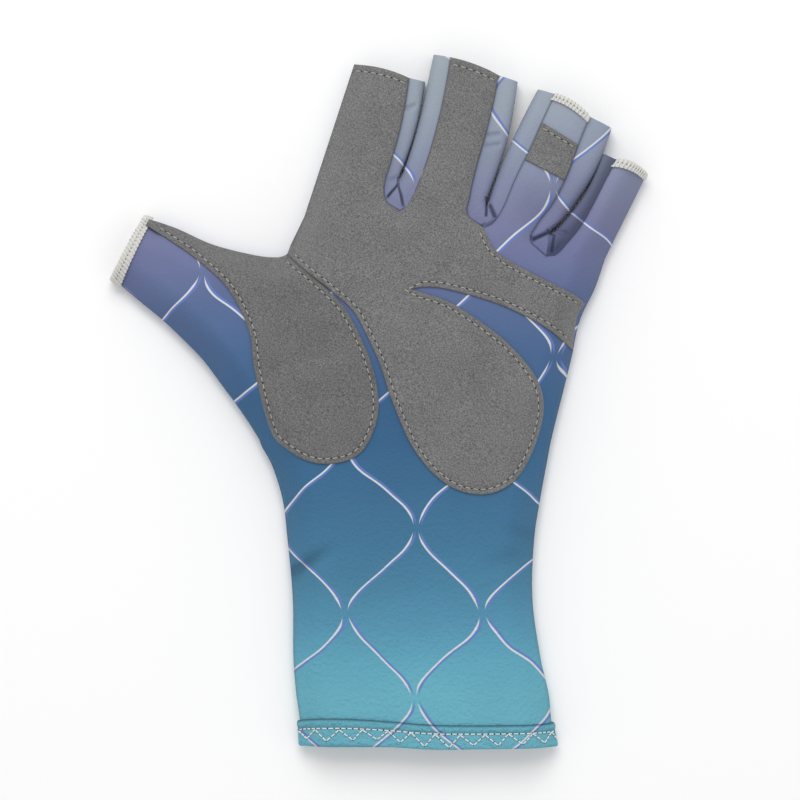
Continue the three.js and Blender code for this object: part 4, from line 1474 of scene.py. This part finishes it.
# Stitches of the hem: heights below its top, and the counts round the wrist
zigzag_top, zigzag_low = 2.9, 6.6
zigzag_corners = 44
stitches_on_leg = 3
zigzag_radius = 0.21
zigzag_lift, zigzag_arch = 0.95, 0.4
row_drop = 2.7
row_stitches = 86
row_radius = 0.2
row_lift, row_arch = 0.75, 0.35
pit_lifts = (0.98, 0.85)
pit_length = 0.7
pit_radius = 0.26

# A stitch fills this middle part of its place, and its thread has this many points.
stitch_part = np.linspace(0.1, 0.9, 7)
step = np.linspace(0, 1, 7)

# Unevenness of each corner: a tenth of the way to the next one along the hem, and millimetres up or
# down, less at the upper corners than at the lower ones
sway = np.random.default_rng(7).uniform(-1, 1, (2, zigzag_corners + 1))
sway[:, -1] = sway[:, 0]
sway[0] *= 0.1
sway[1] *= np.where(np.arange(zigzag_corners + 1) % 2 == 0, 0.25, 0.85)


def zigzag_at(corner):
    """Share of the way round the hem and drop below its top, at a place counted in corners.

    The drop runs straight down and up between two heights, and both are swayed at the corners.
    """
    aside, down = (np.interp(corner, np.arange(zigzag_corners + 1), row) for row in sway)
    fall = 1 - np.abs(corner % 2 - 1)
    return (corner + aside) / zigzag_corners, zigzag_top + (zigzag_low - zigzag_top) * fall + down


stitch_count = zigzag_corners * stitches_on_leg
share, drop = zigzag_at((np.arange(stitch_count)[:, None] + stitch_part) / stitches_on_leg)
arch = np.broadcast_to(zigzag_lift + zigzag_arch * np.sin(np.pi * step) ** 0.6, drop.shape)
points, faces = rods_along(on_hem(share, drop, arch), zigzag_radius)
zigzag = object_of("hem_zigzag_stitches", points, faces, [white_thread])

share = (np.arange(row_stitches)[:, None] + stitch_part) / row_stitches
arch = np.broadcast_to(row_lift + row_arch * np.sin(np.pi * step), share.shape)
points, faces = rods_along(on_hem(share, np.full(share.shape, row_drop), arch), row_radius)
hem_row = object_of("hem_row_stitches", points, faces, [white_thread])

# Needle holes of the zigzag and of the row, painted shade as flat dark rods
pit_share, pit_drop = zigzag_at(np.arange(stitch_count) / stitches_on_leg)
pit_share = np.r_[pit_share, np.arange(row_stitches) / row_stitches][:, None]
pit_drop = np.r_[pit_drop, np.full(row_stitches, row_drop)][:, None]
pit_lift = np.repeat(pit_lifts, [stitch_count, row_stitches])[:, None]
pits = on_hem(pit_share, pit_drop, pit_lift)[:, 0]
pit_ways = on_hem(pit_share + 0.001, pit_drop, pit_lift)[:, 0] - pits
points, faces = capsules(pits, pit_ways, pit_length, pit_radius, flat=0.6, rings=4)
hem_pits = object_of("hem_needle_holes", points, faces, [hem_hole_shade])
for made in (zigzag, hem_row, hem_pits):
    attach(made, "root")


# Overlocked edges of the mouths
# White polyester thread is overlocked over the raw edge of the thumb's mouth, and over the palm side
# of the ring and little fingers: a chain along the inner side, loops 1.3 mm apart round the edge, and
# a small hole between two loops, whose shade is painted as a flat grey rod.
edge_bow = 0.4
thumb_edge_from, thumb_edge_to = -1.1, 2.1
mouth_points = 30
thumb_mouth_points = 50
loop_pitch = 1.3
loop_radius = 0.38
chain_length, chain_radius = 1.25, 0.33
gap_length, gap_radius = 0.5, 0.24

# Section of the sleeve of thread: share of the way from its inner row to the mouth, and lift
sleeve_rows = [
    (0.0, 0.12), (0.02, 0.5), (0.12, 0.68), (0.5, 0.72), (0.9, 0.62), (1.08, 0.3), (1.12, -0.1),
    (1.05, -0.5), (0.9, -0.8), (0.4, -0.85), (0.05, -0.5),
]

# A loop at stretches of its thread: how far it has run over the band, its lift, and its slant in
# pitches. The chain and the holes between the loops have their own run and lift.
loop_points = 12
loop_runs = ([0, 0.62, 1], [0, 1.05, 0.75])
loop_lifts = ([0, 0.08, 0.5, 0.66, 0.8, 1], [0.5, 0.72, 0.74, 0.4, -0.4, -0.8])
loop_slants = ([0, 0.62, 1], [0, 0.6, 0.9])
chain_place = (0.06, 0.78)
gap_place = (0.58, 0.8)

edging_thread = spun_thread("overlock thread of off-white polyester", "#d2d1cc")
# Painted shade of the holes between the loops
edging_hole_shade = shaded_hole("shaded hole of the overlock", "#8f8c86", 0.5)


def edge_band(name, node, palm_rows, back_rows=None):
    """An overlocked band between an inner and an outer row of a mouth, on one side or all round it.

    The band is a thin sleeve of thread, with loops laid over it: each runs slanting from the inner
    needle line over the outer face and turns round the edge.
    """
    closed = back_rows is not None
    inner, outer = (np.c_[row, palm_top(row)] for row in palm_rows)
    if closed:
        inner, outer = (
            np.vstack([palm_row, np.c_[row, back_bottom(row)][::-1][1:-1]])
            for palm_row, row in zip((inner, outer), back_rows)
        )
    axis = (outer - inner).mean(0)
    way = np.roll(outer, -1, axis=0) - np.roll(outer, 1, axis=0) if closed else np.gradient(outer, axis=0)
    out = np.cross(axis / np.linalg.norm(axis), way)
    out /= np.linalg.norm(out, axis=1)[:, None]
    points_in = np.mean(np.sum((outer - outer.mean(0)) * out, axis=1)) < 0
    if points_in or (not closed and out[:, 2].mean() < 0):
        out = -out

    sleeve = np.stack([inner + (outer - inner) * share + out * lift for share, lift in sleeve_rows])
    faces = grid_faces(*sleeve.shape[:2], closed_rows=True, closed_columns=closed).tolist()
    if not closed:
        columns = sleeve.shape[1]
        first_end = list(range(0, len(sleeve_rows) * columns, columns))
        faces += [first_end, [corner + columns - 1 for corner in reversed(first_end)]]
    band = object_of(name, sleeve.reshape(-1, 3), faces, [edging_thread])

    if closed:
        inner, outer, out = (np.vstack([line, line[:1]]) for line in (inner, outer, out))
    lengths = np.r_[0, np.cumsum(np.linalg.norm(np.diff(outer, axis=0), axis=1))]
    pitch = loop_pitch / lengths[-1]
    lengths /= lengths[-1]
    count = round(1 / pitch)

    def on_edge(at, run, lift):
        """Points at shares of the way round the mouth and over the band, lifted off it."""
        base, edge, side = (
            np.stack([np.interp(at, lengths, line[:, k]) for k in range(3)], axis=-1)
            for line in (inner, outer, out)
        )
        return base + (edge - base) * np.asarray(run)[..., None] + side * np.asarray(lift)[..., None]

    starts = (np.arange(count) + 0.1) / count
    if not closed:
        starts = starts[starts < 1 - 1.3 * pitch]
    thread = np.linspace(0, 1, loop_points)
    at = starts[:, None] + np.interp(thread, *loop_slants) * pitch
    at = at % 1.0 if closed else np.minimum(at, 1)
    paths = on_edge(at, np.interp(thread, *loop_runs), np.interp(thread, *loop_lifts))
    loops = object_of(f"{name}_loops", *rods_along(paths, loop_radius), [edging_thread])

    chain_at = starts[:-1]
    gap_at = chain_at + 0.75 / count
    chain, gaps = on_edge(chain_at, *chain_place), on_edge(gap_at, *gap_place)
    chain_ways = on_edge(chain_at + 0.1 / count, *chain_place) - chain
    gap_ways = on_edge(gap_at + 0.1 / count, *gap_place) - gaps
    chain = object_of(f"{name}_chain", *capsules(chain, chain_ways, chain_length, chain_radius),
                      [edging_thread])
    flat_rods = capsules(gaps, gap_ways, gap_length, gap_radius, flat=hole_flatness, rings=4)
    gaps = object_of(f"{name}_holes", *flat_rods, [edging_hole_shade])
    for made in (band, loops, chain, gaps):
        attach(made, "root")
    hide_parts(node)


def mouth_rows(left, right, length):
    """The rows of a finger's palm side where its edging begins and ends, bowed out by a parabola."""
    share = np.linspace(0, 1, mouth_points)[:, None]
    rows = [left(at) * (1 - share) + right(at) * share for at in (1 - edging_width / length, 1.0)]
    return [row + (rows[1] - rows[0]) * edge_bow * 4 * share * (1 - share) for row in rows]


edge_band("ring_edge", "ring_edging", mouth_rows(
    lambda at: seam_line(1, 1, at), lambda at: seam_line(2, 0, at), finger_length))
edge_band("little_edge", "little_edging", mouth_rows(
    lambda at: seam_line(2, 1, at), little_side, little_length))

# The thumb's rows crowd at its two sides by a cosine, and lie at two distances beyond its mouth.
crowded = (0.5 - 0.5 * np.cos(np.pi * np.linspace(0, 1, thumb_mouth_points)))[:, None]
before_mouth, at_mouth = (
    along_line(thumb_lower, at) * (1 - crowded) + along_line(thumb_upper, at) * crowded
    for at in (1 - edging_width / thumb_length, 1.0)
)
outwards = (at_mouth - before_mouth) / edging_width
thumb_rows = [at_mouth + outwards * beyond for beyond in (thumb_edge_from, thumb_edge_to)]
edge_band("thumb_edge", "thumb_edging", thumb_rows, thumb_rows)


# The scene's objects
# Every sheet of the glove is a flat cut before it is sewn: the two halves of the hand, the strips
# between the fingers and three pieces of suede. Here the script only takes the scene's objects.
made = bpy.data.objects
